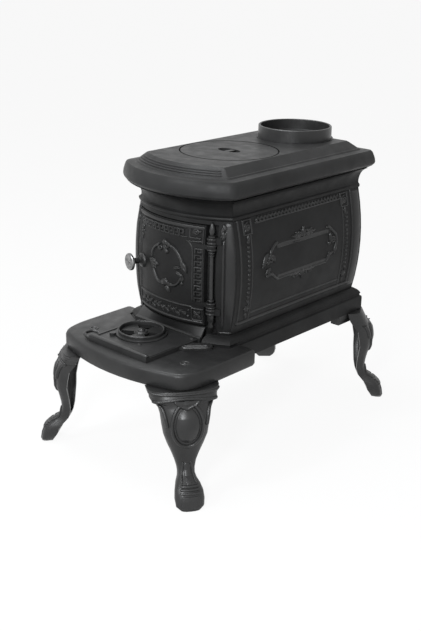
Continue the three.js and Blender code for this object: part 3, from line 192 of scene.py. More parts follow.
@dataclass(frozen=True)
class WornMetal:
    """Bare or blackened metal, with a faint cloud of wear in its colour and gloss."""

    name: str
    dark: float
    light: float
    roughness: float
    metallic: float
    cloud_scale: float = 160.0

    def make(self) -> Material:
        """Builds the material.

        Returns:
            The finished material.
        """
        material, shader = new_material(self.name)
        cloud = noise(material, self.cloud_scale, 4.0)
        ramp(material, cloud, (0.35, self.dark), (0.65, self.light), shader.inputs["Base Color"])
        dull = self.roughness + 0.1
        ramp(material, cloud, (0.35, dull), (0.65, self.roughness), shader.inputs["Roughness"])
        shader.inputs["Metallic"].default_value = self.metallic
        return material


@dataclass
class Finishes:
    """The stove's finishes, made once and shared. The relief, deck, leg and hearth paints are
    the one stove paint in lighter greys that are painted light.
    """

    paint: Material
    soot: Material
    relief: Material
    deck: Material
    legs: Material
    hearth: Material
    nickel: Material
    steel: Material

    @classmethod
    def make(cls) -> "Finishes":
        """Builds every finish.

        Returns:
            The set of finishes.
        """
        return cls(
            paint=CastPaint("stove_black", 0.009, 0.016, 0.42, 0.11).make(),
            # painted shadow: near-black paint for the ring that stands for the shade in the gap round the
            # cook lid
            soot=CastPaint("soot_black", 0.003, 0.005, 0.88, 0.02).make(),
            # relief: the stove paint with more gloss, in a slightly lighter grey that is a painted highlight
            # on the raised work
            relief=CastPaint("relief_black", 0.011, 0.020, 0.34, 0.30).make(),
            # top and cook lid: the stove paint in a lighter grey that paints the overhead light on the top
            deck=CastPaint("deck_black_painted_light", 0.016, 0.026, 0.42, 0.13).make(),
            # legs and small parts: the stove paint with more gloss, in a lighter grey that paints the light
            # they catch
            legs=CastPaint("leg_black_painted_light", 0.012, 0.026, 0.36, 0.42, cloud_scale=9.0).make(),
            # hearth: the stove paint with more gloss, in a lighter grey that paints the light falling on the
            # hearth
            hearth=CastPaint("hearth_black_painted_light", 0.011, 0.020, 0.40, 0.28).make(),
            nickel=WornMetal("worn_nickel", 0.17, 0.34, 0.30, 1.0).make(),
            steel=WornMetal("black_steel", 0.006, 0.013, 0.34, 0.0).make(),
        )


# ---- Meshes ----


def mesh_object(name: str, points: Array, faces: Array | Sequence[Sequence[int]]) -> Thing:
    """An object at the origin with a mesh in metres.

    Args:
        name: Name of the piece.
        points: Vertices in millimetres, one row each.
        faces: Rows of vertex numbers, counter-clockwise from outside.

    Returns:
        The linked object.
    """
    mesh = bpy.data.meshes.new(name)
    rows = faces.tolist() if isinstance(faces, np.ndarray) else faces
    mesh.from_pydata((np.asarray(points) * MM).tolist(), [], rows)
    mesh.validate()
    thing = bpy.data.objects.new(name, mesh)
    bpy.context.scene.collection.objects.link(thing)
    return thing


def shade(thing: Thing, sharp_angle: float) -> None:
    """Smooth shading that keeps edges sharper than the angle.

    Args:
        thing: Mesh object.
        sharp_angle: Angle in degrees.
    """
    thing.data.polygons.foreach_set("use_smooth", np.ones(len(thing.data.polygons), bool))
    thing.data.set_sharp_from_angle(angle=math.radians(sharp_angle))
    thing.data.update()


def dress(
    thing: Thing, material: Material, body: Body = Body.STOVE
) -> None:
    """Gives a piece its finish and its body.

    Args:
        thing: The piece.
        material: Its finish.
        body: Body that it rides on.
    """
    thing.data.materials.clear()
    thing.data.materials.append(material)
    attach(thing, body.value)
    LOG.info("%s: %d faces on %s", thing.name, len(thing.data.polygons), body.value)


def merged_copy(node: Thing, name: str, sharp_angle: float) -> Thing:
    """A copy of a CAD node with its loose triangles joined, so that it shades smoothly.

    Args:
        node: The CAD node.
        name: Name of the copy.
        sharp_angle: Edges above this angle stay sharp, in degrees.

    Returns:
        The copy, which isn't dressed yet.
    """
    count = len(node.data.vertices)
    points = np.zeros(count * 3)
    node.data.vertices.foreach_get("co", points)
    points = points.reshape(-1, 3)
    corners = np.zeros(len(node.data.loops), int)
    node.data.loops.foreach_get("vertex_index", corners)
    steps = np.round(points / WELD).astype(np.int64)
    _, first, back = np.unique(steps, axis=0, return_index=True, return_inverse=True)
    triangles = back.ravel()[corners].reshape(-1, 3)
    kept = (triangles != np.roll(triangles, 1, axis=1)).all(axis=1)
    thing = mesh_object(name, points[first] / MM, triangles[kept])
    shade(thing, sharp_angle)
    return thing


def outward_normals(points: Array, outward: Array) -> Array:
    """Unit normals of a surface on a grid, from the cross product of its two directions.

    Args:
        points: Surface points on the grid, shape (m, n, 3).
        outward: A rough outward direction.

    Returns:
        Normals of the same shape, on the outward side.
    """
    along_u = np.gradient(points, axis=0)
    along_v = np.gradient(points, axis=1)
    normal = np.cross(along_u, along_v)
    normal /= np.linalg.norm(normal, axis=2, keepdims=True) + 1e-12
    facing = np.sign((normal * outward).sum(axis=2).mean()) or 1.0
    return normal * facing


def relief(
    name: str, surface: SurfaceFn, height: HeightFn, u: Array, v: Array, outward: Sequence[float],
    bury: float = 0.7, root: float = 1.6,
) -> Thing:
    """Cast relief that rises out of a wall, as one closed skin.

    The outer skin is the wall's point plus its normal times the height; where the height is
    nothing the skin dives by bury under the wall. Cells of the grid without any height are left
    out, and the rest is closed by an inner skin at the root depth and by walls round its edges.

    Args:
        name: Name of the piece.
        surface: Wall point for each pair of grid values.
        height: Height of the relief for each pair of grid values.
        u: First grid values.
        v: Second grid values.
        outward: Rough outward direction of the wall.
        bury: Depth of the skin's edge under the wall.
        root: Depth of the inner skin under the wall.

    Returns:
        The relief, which isn't dressed yet.
    """
    grid_u, grid_v = np.meshgrid(u, v, indexing="ij")
    points = surface(grid_u, grid_v)
    normals = outward_normals(points, np.asarray(outward, float))
    rise = np.maximum(height(grid_u, grid_v), 0.0)
    outer = points + normals * (rise - bury * np.clip(1 - rise / EDGE_RISE, 0, 1))[..., None]
    inner = points - normals * root
    alive = rise > LEAST_RISE
    cells = alive[:-1, :-1] | alive[1:, :-1] | alive[:-1, 1:] | alive[1:, 1:]
    return shell_of_cells(name, outer, inner, cells, normals)


def shell_of_cells(name: str, outer: Array, inner: Array, cells: Array, normals: Array) -> Thing:
    """Closed skin over the chosen cells of a grid.

    Args:
        name: Name of the piece.
        outer: Outer points, shape (m, n, 3).
        inner: Inner points of the same shape.
        cells: Truth table of the cells, shape (m - 1, n - 1).
        normals: Outward normals of the outer points.

    Returns:
        The mesh object.
    """
    rows, columns = outer.shape[:2]
    number = np.arange(rows * columns).reshape(rows, columns)
    shift = rows * columns
    i, j = np.nonzero(cells)
    quad = np.stack([number[i, j], number[i + 1, j], number[i + 1, j + 1], number[i, j + 1]], axis=1)
    flat = outer.reshape(-1, 3)
    turn = np.cross(flat[quad[:, 1]] - flat[quad[:, 0]], flat[quad[:, 3]] - flat[quad[:, 0]])
    if (turn * normals.reshape(-1, 3)[quad[:, 0]]).sum() < 0:
        quad = quad[:, ::-1]
    faces = [quad, quad[:, ::-1] + shift]
    edges = np.concatenate([quad[:, [k, (k + 1) % 4]] for k in range(4)])
    key = np.sort(edges, axis=1)
    _, back, count = np.unique(key, axis=0, return_inverse=True, return_counts=True)
    rim = edges[count[back.ravel()] == 1]
    faces.append(np.stack([rim[:, 1], rim[:, 0], rim[:, 0] + shift, rim[:, 1] + shift], axis=1))
    every = np.concatenate(faces)
    used, small = np.unique(every, return_inverse=True)
    points = np.concatenate([flat, inner.reshape(-1, 3)])[used]
    thing = mesh_object(name, points, small.reshape(every.shape))
    shade(thing, RELIEF_SHARP)
    return thing


def turned_ring(
    name: str, centre: Point, profile: Sequence[Point], count: int = 40
) -> Thing:
    """A closed ring turned about an upright axis.

    Args:
        name: Name of the piece.
        centre: X and Y of the axis.
        profile: Closed outline of radius and height, counter-clockwise.
        count: Steps round the axis.

    Returns:
        The ring, which isn't dressed yet.
    """
    outline = np.asarray(profile, float)
    angle = np.arange(count) * (2 * math.pi / count)
    x = centre[0] + np.outer(np.cos(angle), outline[:, 0])
    y = centre[1] + np.outer(np.sin(angle), outline[:, 0])
    z = np.broadcast_to(outline[:, 1], x.shape)
    points = np.stack([x, y, z], axis=-1).reshape(-1, 3)
    number = np.arange(count * len(outline)).reshape(count, len(outline))
    along, up = np.roll(number, -1, axis=0), np.roll(number, -1, axis=1)
    both = np.roll(along, -1, axis=1)
    thing = mesh_object(name, points, np.stack([number, along, both, up], axis=-1).reshape(-1, 4))
    shade(thing, RING_SHARP)
    return thing


def round_band(inner: float, outer: float, low: float, high: float, steps: int = 9) -> list[Point]:
    """Outline of a ring whose outer face is a half ellipse between two heights."""
    turns = np.linspace(-math.pi / 2, math.pi / 2, steps)
    middle, half = (low + high) / 2, (high - low) / 2
    root = outer - min(half, outer - inner - 0.4)
    curve = [(root + (outer - root) * math.cos(a), middle + half * math.sin(a)) for a in turns]
    return [*curve, (inner, high), (inner, low)]


def span(low: float, high: float, pitch: float) -> Array:
    """Evenly spaced values from low to high, about a pitch apart."""
    return np.linspace(low, high, max(int(round((high - low) / pitch)), 2) + 1)


# ---- Relief forms ----


def line_distance(u: Array, v: Array, path: Sequence[Point]) -> Array:
    """Distance from each grid point to a broken line, as the least distance to its stretches."""
    best = np.full(u.shape, 1e9)
    for (u0, v0), (u1, v1) in zip(path[:-1], path[1:]):
        du, dv = u1 - u0, v1 - v0
        share = np.clip(((u - u0) * du + (v - v0) * dv) / (du * du + dv * dv + 1e-9), 0, 1)
        best = np.minimum(best, np.hypot(u - u0 - share * du, v - v0 - share * dv))
    return best


def half_round(offset: Array, half: float | Array, rise: float) -> Array:
    """Round section: rise times the root of one less the squared share of the half width."""
    return rise * np.sqrt(np.clip(1 - (offset / half) ** 2, 0, 1))


@dataclass(frozen=True)
class Bead:
    """Round bead along a broken line."""

    path: Sequence[Point]
    radius: float
    rise: float

    def on(self, u: Array, v: Array) -> Array:
        """Heights on a grid."""
        return half_round(line_distance(u, v, self.path), self.radius, self.rise)


@dataclass(frozen=True)
class Strip:
    """Flat-topped strip along a broken line, with slopes over its outer third."""

    path: Sequence[Point]
    half: float
    rise: float

    def on(self, u: Array, v: Array) -> Array:
        """Heights on a grid."""
        share = line_distance(u, v, self.path) / self.half
        return self.rise * np.clip((1 - share) * 3, 0, 1)


@dataclass(frozen=True)
class Dome:
    """Round boss."""

    centre: Point
    radius: float
    rise: float

    def on(self, u: Array, v: Array) -> Array:
        """Heights on a grid."""
        return half_round(np.hypot(u - self.centre[0], v - self.centre[1]), self.radius, self.rise)


@dataclass(frozen=True)
class Leaf:
    """Pointed leaf with a vein: a lens of two sine halves, lowest along its middle line.

    The leaf starts at its foot, the angle of its tip is in degrees and width is its greatest
    half width.
    """

    foot: Point
    angle: float
    length: float
    width: float
    rise: float
    swell: float = 0.72
    vein_depth: float = 0.45
    vein_width: float = 0.22

    def on(self, u: Array, v: Array) -> Array:
        """Heights on a grid."""
        turn = math.radians(self.angle)
        du, dv = u - self.foot[0], v - self.foot[1]
        along = (du * math.cos(turn) + dv * math.sin(turn)) / self.length
        across = -du * math.sin(turn) + dv * math.cos(turn)
        half = self.width * np.sin(math.pi * np.clip(along, 0, 1) ** self.swell)
        inside = (along > 0) & (along < 1)
        share = np.where(inside, np.abs(across) / np.maximum(half, 1e-3), 9.0)
        vein = 1 - self.vein_depth * np.exp(-((across / (self.vein_width * self.width)) ** 2))
        return self.rise * np.sqrt(np.clip(1 - share**2, 0, 1)) * vein


Form = Bead | Strip | Dome | Leaf
Forms = tuple[Form, ...]


def heights(u: Array, v: Array, forms: Iterable[Form]) -> Array:
    """The highest of several forms at each grid point."""
    return np.maximum.reduce([form.on(u, v) for form in forms])


def palmette(foot: Point, angle: float, size: float, rise: float) -> list[Form]:
    """Fan of five leaves round a boss, the middle leaf the longest.

    Args:
        foot: Where the leaves meet.
        angle: Direction of the middle leaf in degrees.
        size: Length of the middle leaf.
        rise: Height.

    Returns:
        The boss and the leaves.
    """
    half_fan, shortest = 75, 0.65
    forms: list[Form] = [Dome(foot, size * 0.2, rise)]
    for turn in np.linspace(-half_fan, half_fan, 5):
        length = size * (1 - (1 - shortest) * abs(turn) / half_fan)
        forms.append(Leaf(foot, angle + turn, length, size * 0.17, rise))
    return forms


def spiral(centre: Point, start: float, turns: float, radius: float, hand: float = 1) -> list[Point]:
    """Points of a scroll that winds in from the radius to a fifth of it, start in degrees."""
    shares = np.linspace(0, 1, int(18 * turns) + 2)
    angles = math.radians(start) + hand * shares * turns * 2 * math.pi
    reach = radius * (1 - 0.8 * shares)
    return [(centre[0] + r * math.cos(a), centre[1] + r * math.sin(a)) for r, a in zip(reach, angles)]


def ring_of(centre: Point, radii: Point, count: int = 48) -> list[Point]:
    """Points of an ellipse."""
    angles = np.radians(np.linspace(0, 360, count + 1))
    return [(centre[0] + radii[0] * math.cos(a), centre[1] + radii[1] * math.sin(a)) for a in angles]


def softened(path: Sequence[Point], reach: float, count: int = 6) -> list[Point]:
    """A broken line with its inner corners rounded by a curve of the given reach."""
    soft = [path[0]]
    for before, corner, after in zip(path[:-2], path[1:-1], path[2:]):
        ends = []
        for other in (before, after):
            share = min(reach / math.dist(corner, other), 0.5)
            ends.append([corner[k] + (other[k] - corner[k]) * share for k in (0, 1)])
        for t in np.linspace(0, 1, count):
            soft.append(tuple(
                (1 - t) ** 2 * ends[0][k] + 2 * t * (1 - t) * corner[k] + t**2 * ends[1][k] for k in (0, 1)
            ))
    return [*soft, path[-1]]


# ---- Firebox walls ----


@dataclass(frozen=True)
class Firebox:
    """Curved walls of the firebox. The bulge is one less the square of the share from mid-height."""

    foot: float = 281.0
    panel_height: float = 241.0
    half_width: float = 130.0
    corner_y: float = -147.5
    centre_y: float = -192.5
    side_bulge: float = 16.0
    front_bulge: float = 5.0

    def bulge(self, z: Array) -> Array:
        """Share of the bulge at a height."""
        return np.clip(1 - ((z - self.foot) / self.panel_height * 2 - 1) ** 2, 0, 1)

    def side(self, side: Side) -> SurfaceFn:
        """Outer face of a side panel over Y and Z."""

        def at(y: Array, z: Array) -> Array:
            x = (self.half_width + self.side_bulge * self.bulge(z)) * side.value
            return np.stack([x, y, z], axis=-1)

        return at

    def front(self, lift: float = 0.0) -> SurfaceFn:
        """Outer face of the front over X and Z: the arc through both corners and the middle."""

        def at(x: Array, z: Array) -> Array:
            share = self.bulge(z)
            half = self.half_width + self.side_bulge * share
            centre = self.centre_y - self.front_bulge * share
            rise = self.corner_y - centre
            radius = (half**2 + rise**2) / (2 * rise)
            y = centre + radius - np.sqrt(np.maximum(radius**2 - x**2, 0)) - lift
            return np.stack([x, y, z], axis=-1)

        return at


# ---- Castings that keep the CAD shape ----


@dataclass
class Castings:
    """Every CAD node: the larger ones as merged smooth copies, the small ones as they are.

    A row of smooth is a body, the angle above which edges stay sharp, and its nodes.
    """

    nodes: dict[str, Thing]
    finishes: Finishes
    smooth: tuple[tuple[Body, float, tuple[str, ...]], ...] = (
        (Body.STOVE, 28, ("base_pan",)),
        (Body.STOVE, 40, ("hearth_plate",)),
        (Body.STOVE, 32, ("leg_front_left", "leg_front_right", "leg_rear_left", "leg_rear_right")),
        (Body.STOVE, 28, ("front_plate",)),
        (Body.STOVE, 30, ("side_plate_left", "side_plate_right", "back_plate")),
        (Body.STOVE, 24, ("top_plate",)),
        (Body.STOVE, 35, ("flue_collar",)),
        (Body.STOVE, 50, ("hinge_pendant", "hinge_rod")),
        (Body.COOK_LID, 40, ("cook_lid",)),
        (Body.DOOR, 30, ("feed_door",)),
        (Body.ASH_LID, 30, ("ash_lid",)),
        (Body.ASH_LID, 60, ("ash_lid_handle",)),
        (Body.DRAFT, 38, ("draft_wheel",)),
        (Body.ASH_LID, 50, ("draft_wheel_screw",)),
        (Body.LATCH, 50, ("latch_spindle",)),
        (Body.LATCH, 40, ("door_knob",)),
    )
    leg_paint: tuple[str, ...] = (
        "leg_front", "leg_rear", "ash_lid_handle", "draft_wheel", "flue_collar", "latch_spindle",
    )
    steel_words: tuple[str, ...] = ("bolt", "nut", "tie_rod", "rivet", "cam", "pivot", "hinge")

    def build(self) -> None:
        """Makes the smooth copies and paints the nodes that stay."""
        for body, angle, names in self.smooth:
            for name in names:
                self.copy(name, angle, body)
        for name, node in self.nodes.items():
            node.data.materials.clear()
            node.data.materials.append(self.finish(name))

    def finish(self, name: str) -> Material:
        """The finish of a node by its name."""
        if name == "door_knob":
            return self.finishes.nickel
        # the top, the hearth, the legs and the parts named in leg_paint get the stove paint in lighter greys,
        # which are painted light
        if name in ("top_plate", "cook_lid"):
            return self.finishes.deck
        if name == "hearth_plate":
            return self.finishes.hearth
        if name == "ash_lid" or name.startswith(self.leg_paint):
            return self.finishes.legs
        if any(word in name for word in self.steel_words):
            return self.finishes.steel
        return self.finishes.paint

    def copy(self, name: str, sharp_angle: float, body: Body) -> None:
        """Puts a smooth copy in the place of a node.

        Args:
            name: The node.
            sharp_angle: Edges above this angle stay sharp, in degrees.
            body: Body that it rides on.
        """
        thing = merged_copy(self.nodes[name], f"{name}_casting", sharp_angle)
        dress(thing, self.finish(name), body)
        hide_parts(name)


# ---- Relief on the side panels ----


@dataclass
class SidePanelRelief:
    """Bordered panel with an oblong cartouche, on both sides. Forms lie over Y and Z.

    The pilaster's numbers are its middle, half width and rise, and the band leaves' are the
    first place, the last one and the pitch.
    """

    walls: Firebox
    paint: Material
    pitch: float = 1.15
    border_area: tuple[Point, Point] = ((-147, 284), (296, 524))
    cartouche_area: tuple[Point, Point] = ((-76, 204), (350, 482))
    pearl_columns: Point = (-110, 231)
    pearl_heights: Point = (350, 484)
    pearl_pitch: float = 9.6
    band_leaves: tuple[float, float, float] = (-78, 205, 11.4)
    block_centres: Point = (-107, 226)
    pilaster: tuple[float, float, float] = (270, 12.5, 2.4)
    pilaster_top: float = 518
    pilaster_fade: float = 6
    lines: Forms = (
        Bead(((-80, 509), (213, 509), (217, 497)), 2, 2),
        Bead(((-134, 304), (262, 304)), 3.4, 3),
        Bead(((-96, 321), (211, 321)), 2, 1.8),
        Bead(((-99, 487), (-99, 304)), 1.5, 1.1),
        Bead(((252, 521), (252, 304)), 2.4, 2.2),
        Bead(((217, 488), (217, 304)), 1.5, 1.1),
        Bead(((-134, 520), (-134, 304)), 2, 1.6),
    )
    cartouche_frame: Forms = (
        Strip(((-18, 451), (158, 448.5)), 3.2, 0.8),
        Bead(((-18, 446.5), (158, 444.5)), 1.7, 2.5),
        Strip(((-14, 383), (152, 382.5)), 3.6, 0.9),
        Bead(((-17, 377.6), (153, 377.6)), 2.2, 2.8),
    )
    cartouche_front_end: Forms = (
        Bead(softened([(-20, 457.5), (-27, 455), (-42, 440), (-41, 430)], 6), 3, 3.2),
        Bead(softened([(-17, 378), (-28, 386), (-38, 395), (-52, 391)], 7), 3, 3),
        Bead(spiral((-40, 425), 60, 1.2, 8.5), 2.2, 3),
        Leaf((-50, 442), -121, 37, 5.4, 3.6),
        Leaf((-34, 434), -70, 20, 4.2, 3),
        Leaf((-42, 408), -140, 20, 4.6, 3.2),
        Dome((-51, 420), 4.4, 3.8),
        Dome((-48, 399), 3.6, 3.2),
    )
    cartouche_rear_end: Forms = (
        Bead(softened([(156, 456), (163, 457), (175, 445), (188, 436), (192, 419), (186, 402)], 9), 3, 3.2),
        Bead(softened([(152, 378), (160, 385), (166, 393), (176, 396)], 6), 2.8, 3),
        Bead(spiral((177, 424), 120, 1.2, 8, -1), 2.2, 3),
        Leaf((166, 442), -82, 26, 4.6, 3.5),
        Leaf((190, 410), -112, 22, 4.4, 3.2),
        Dome((163, 419), 4, 3.6),
        Dome((165, 396), 3.8, 3.4),
        Dome((186, 437), 3.6, 3.4),
    )

    def build(self) -> None:
        """Makes the border and the cartouche of each side."""
        for side in Side:
            for word, height, (ys, zs) in (
                ("border", self.border, self.border_area), ("cartouche", self.cartouche, self.cartouche_area),
            ):
                thing = relief(
                    f"panel_{word}_{side.name.lower()}", self.walls.side(side), height,
                    span(*ys, self.pitch), span(*zs, self.pitch), (side.value, 0, 0),
                )
                dress(thing, self.paint)

    def border(self, y: Array, z: Array) -> Array:
        """Lines, pearls, corner blocks, the leaf band and the rear pilaster."""
        middle, half, rise = self.pilaster
        fade = np.clip((self.pilaster_top - z) / self.pilaster_fade, 0, 1)
        pilaster = half_round(y - middle, half, rise) * fade
        forms = [*self.lines, *self.leaf_band()]
        for centre in self.block_centres:
            forms += self.corner_block(centre)
        for column in self.pearl_columns:
            pearls = np.arange(*self.pearl_heights, self.pearl_pitch)
            forms += [Dome((column, at), 3.4, 2.6) for at in pearls]
            forms += self.drop(column)
        return np.maximum(pilaster, heights(y, z, forms))

    def corner_block(self, centre: float, half: float = 12) -> list[Form]:
        """Upright frame with a scroll in it and a leaf under it."""
        left, right, low, high = centre - half, centre + half, 491, 519
        return [
            Bead(((left, high), (right, high), (right, low), (left, low), (left, high)), 1.9, 2.2),
            Bead(spiral((centre, 505), 90, 1.5, 9), 2.1, 2.8),
            Leaf((centre - 8, 496), 40, 14, 3, 2.6),
            Leaf((centre, 489), -90, 16, 3.6, 2.6),
        ]

    def drop(self, at: float) -> list[Form]:
        """Rosette with a leaf above and below it, at the foot of a row of pearls."""
        return [
            *(Leaf((at, 333), turn, 9.5, 3.2, 2.9) for turn in range(0, 360, 60)),
            Dome((at, 333), 3.2, 3.4),
            Leaf((at + 3, 341), 75, 11, 3, 2.6),
            Leaf((at, 324), -90, 15, 3.8, 2.6),
        ]

    def leaf_band(self) -> list[Form]:
        """Row of leaning leaves along the top, with a second row against it."""
        forms: list[Form] = []
        for at in np.arange(*self.band_leaves):
            forms += [Leaf((at, 510), 62, 12.5, 2.9, 2.7), Leaf((at + 5.5, 520), -58, 10, 2.4, 2.3)]
        return forms

    def cartouche(self, y: Array, z: Array) -> Array:
        """Oblong frame between scrolled ends, with a leaf cluster on each long side."""
        return heights(y, z, [
            *self.cartouche_frame, *self.cartouche_front_end, *self.cartouche_rear_end,
            *self.cluster((71, 456), 1, 20), *self.cluster((68, 378), -1, 19),
        ])

    def cluster(self, foot: Point, up: float, size: float) -> list[Form]:
        """Palmette with a wing, a bud and a scroll on each hand.

        Args:
            foot: Where it stands on the long side.
            up: 1 where it points up and -1 where it hangs.
            size: Length of the palmette.

        Returns:
            Its forms.
        """
        y, z = foot
        forms = palmette(foot, 90 * up, size, 3.6)
        for hand in (-1, 1):
            forms += [
                Bead(spiral((y + hand * 27, z + up * 3), 90 * up, 1.1, 6.5, hand), 2, 2.8),
                Leaf((y + hand * 4, z), 90 - hand * (90 - up * 5), 42, 4.2, 2.8),
                Dome((y + hand * 15, z + up * 7), 3.6, 3),
            ]
        return forms


# ---- Relief on the door and the front ----


@dataclass
class DoorRelief:
    """Bordered door with a fret, a key column, a leaf band and a wreath. Forms lie over X and Z.

    The fret's turns and the stem's leaves are given as first place, last place and pitch.
    """

    walls: Firebox
    paint: Material
    pitch: float = 0.9
    left: float = -106
    right: float = 84
    foot: float = 301.5
    top: float = 510
    wreath_area: tuple[Point, Point] = ((-64, 62), (348, 474))
    fret_turns: tuple[float, float, float] = (-76, 42, 13.3)
    key_foot: float = 351
    key_pitch: float = 12.9
    key_count: int = 9
    stem_height: float = 320
    stem_swing: float = 2.2
    stem_leaves: tuple[float, float, float] = (-92, 44, 7.4)
    edges: Forms = (
        Bead(((left + 4.5, top - 4.4), (right - 3, top - 4.4)), 4.4, 3.2),
        Bead(((left + 3, top - 3), (left + 3, foot + 3)), 2, 1.5),
        Bead(((left + 3, foot + 3), (right - 3, foot + 3)), 2.6, 2.2),
        Bead(((right - 2.2, top - 3), (right - 2.2, 474)), 1.9, 2),
        Bead(((-98, 337), (60, 337)), 2.2, 2.4),
        Bead(softened([(48, 476), (58, 470), (62, 455), (62, 352)], 8), 1.8, 1.7),
        Bead(((-98, 478), (-98, 337)), 1.2, 0.9),
    )
    latch_boss: Forms = (Dome((-92, 401.5), 15.5, 8), Dome((-92, 401.5), 10.5, 11))
    top_blocks: Forms = (
        Bead(((53.5, 503), (53.5, 484)), 1.9, 2.2),
        Bead(((57, 484), (76, 484)), 2.4, 3),
        Bead(((50, 475.5), (80, 478)), 2.2, 2.4),
        Bead(spiral((67.5, 495.5), 200, 1.4, 7, -1), 2, 2.8),
        Dome((76, 498), 2.8, 2.6),
        Bead(spiral((-88, 491), 300, 1.2, 8), 2.2, 2.9),
        Bead(spiral((-92, 476), 60, 1, 5, -1), 1.8, 2.4),
        Dome((-89.7, 468), 3.6, 3.2),
        Leaf((-93, 462), -90, 15, 3.2, 2.4),
    )
    foot_block: Forms = (
        Bead(((60, 334), (83, 334), (83, 309), (60, 309), (60, 334)), 2, 2.4),
        *(Leaf((71.5, 321.5), turn, 12.5, 3.8, 3.2) for turn in (45, 135, 225, 315)),
        Dome((71.5, 321.5), 3.8, 3.6),
        Dome((51.5, 315), 3.4, 3),
        Dome((53, 328), 2.8, 2.4),
    )
    wreath_ring: Forms = (
        Bead(softened([(-3, 461), (12, 458), (24, 452), (35, 437), (42, 419)], 8), 3.8, 4.4),
        Bead(softened([(4, 372.5), (18, 374), (30, 382), (38, 398)], 8), 3, 3.4),
        Bead(softened([(-11, 372.5), (-27, 374), (-37, 383), (-43, 396)], 8), 3.2, 3.7),
        Bead(softened([(-50.5, 424), (-48, 435), (-40, 446), (-26, 455)], 8), 3, 3),
    )
    wreath_top: Forms = (
        Bead(spiral((-20.5, 450), 120, 1.1, 7.5), 2.3, 3.6),
        Bead(spiral((-2, 457.5), 60, 1, 7, -1), 2.2, 3.6),
        Dome((-7.5, 462.5), 6.8, 5.4),
        Dome((-2, 444), 5.2, 5),
        Leaf((-10, 457), -60, 18, 5.2, 4.6),
    )
    wreath_right: Forms = (
        Leaf((36.5, 431), -58, 28, 6.8, 5.4),
        Leaf((18, 413), 14, 21, 4.4, 4.2),
        Leaf((24, 407), -28, 19, 4.8, 4.4),
        Leaf((40, 400), -95, 16, 4.4, 4),
        Dome((37, 400.5), 4.6, 4.8),
        Dome((38.2, 383), 3.6, 3.8),
    )
    wreath_foot: Forms = (
        Dome((-6.5, 376.5), 9.5, 5.8),
        Leaf((-4, 372), -52, 19, 5.4, 5),
        Leaf((-1, 374), 4, 18, 3.6, 3.4),
        Bead(spiral((-17, 375.5), 20, 1, 5.5, -1), 2, 3),
    )
    wreath_left: Forms = (
        Leaf((-57, 415.5), -10, 30, 6.4, 4.6),
        Leaf((-52, 406), -16, 18, 3.8, 3),
        Dome((-33.5, 410), 5.8, 4.4),
    )

    def build(self) -> None:
        """Makes the border and the wreath."""
        border = [
            *self.edges, *self.latch_boss, *self.top_blocks, *self.foot_block,
            *self.fret(), *self.key_column(), *self.leaf_band(),
        ]
        wreath = [
            *self.wreath_ring, *self.wreath_top, *self.wreath_right, *self.wreath_foot, *self.wreath_left,
        ]
        self.add("door_border", border, (self.left, self.right), (self.foot, self.top))
        self.add("door_wreath", wreath, *self.wreath_area)

    def add(self, name: str, forms: Sequence[Form], xs: Point, zs: Point) -> None:
        """Lays some forms on the door."""

        def height(x: Array, z: Array) -> Array:
            return heights(x, z, forms)

        thing = relief(
            name, self.walls.front(), height, span(*xs, self.pitch), span(*zs, self.pitch), (0, -1, 0),
        )
        dress(thing, self.paint, Body.DOOR)

    def fret(self) -> list[Form]:
        """Greek key along the top: each turn a hook of three strokes on a running line."""
        forms: list[Form] = [Strip(((-80, 483.5), (47, 483.5)), 1.5, 2)]
        for at in np.arange(*self.fret_turns):
            hook = ((at, 484.5), (at, 498), (at + 8.8, 498), (at + 8.8, 490), (at + 4.4, 490))
            forms.append(Strip(hook, 2.1, 3.5))
        return forms

    def key_column(self) -> list[Form]:
        """Key hooks, one above the other, between a line and the door's edge."""
        forms: list[Form] = [Bead(((83, 347), (83, 468)), 1.3, 1.6)]
        for at in self.key_foot + self.key_pitch * np.arange(self.key_count):
            hook = ((67.6, at), (67.6, at + 8.4), (80.4, at + 8.4), (80.4, at + 2.2), (74, at + 2.2))
            forms.append(Strip(hook, 2.2, 3.7))
        return forms

    def stem(self, x: float) -> Point:
        """Point of the waving stem."""
        return float(x), self.stem_height + self.stem_swing * math.sin(x / 6)

    def leaf_band(self) -> list[Form]:
        """Waving stem with leaves on both hands along the foot."""
        forms: list[Form] = [Bead([self.stem(x) for x in np.linspace(-94, 46, 48)], 1.4, 1.7)]
        for number, x in enumerate(np.arange(*self.stem_leaves)):
            hand = 1 if number % 2 else -1
            forms += [
                Leaf(self.stem(x), hand * 58, 11, 3, 2.6), Leaf(self.stem(x), hand * 125, 8, 2.4, 2.2),
            ]
        return forms


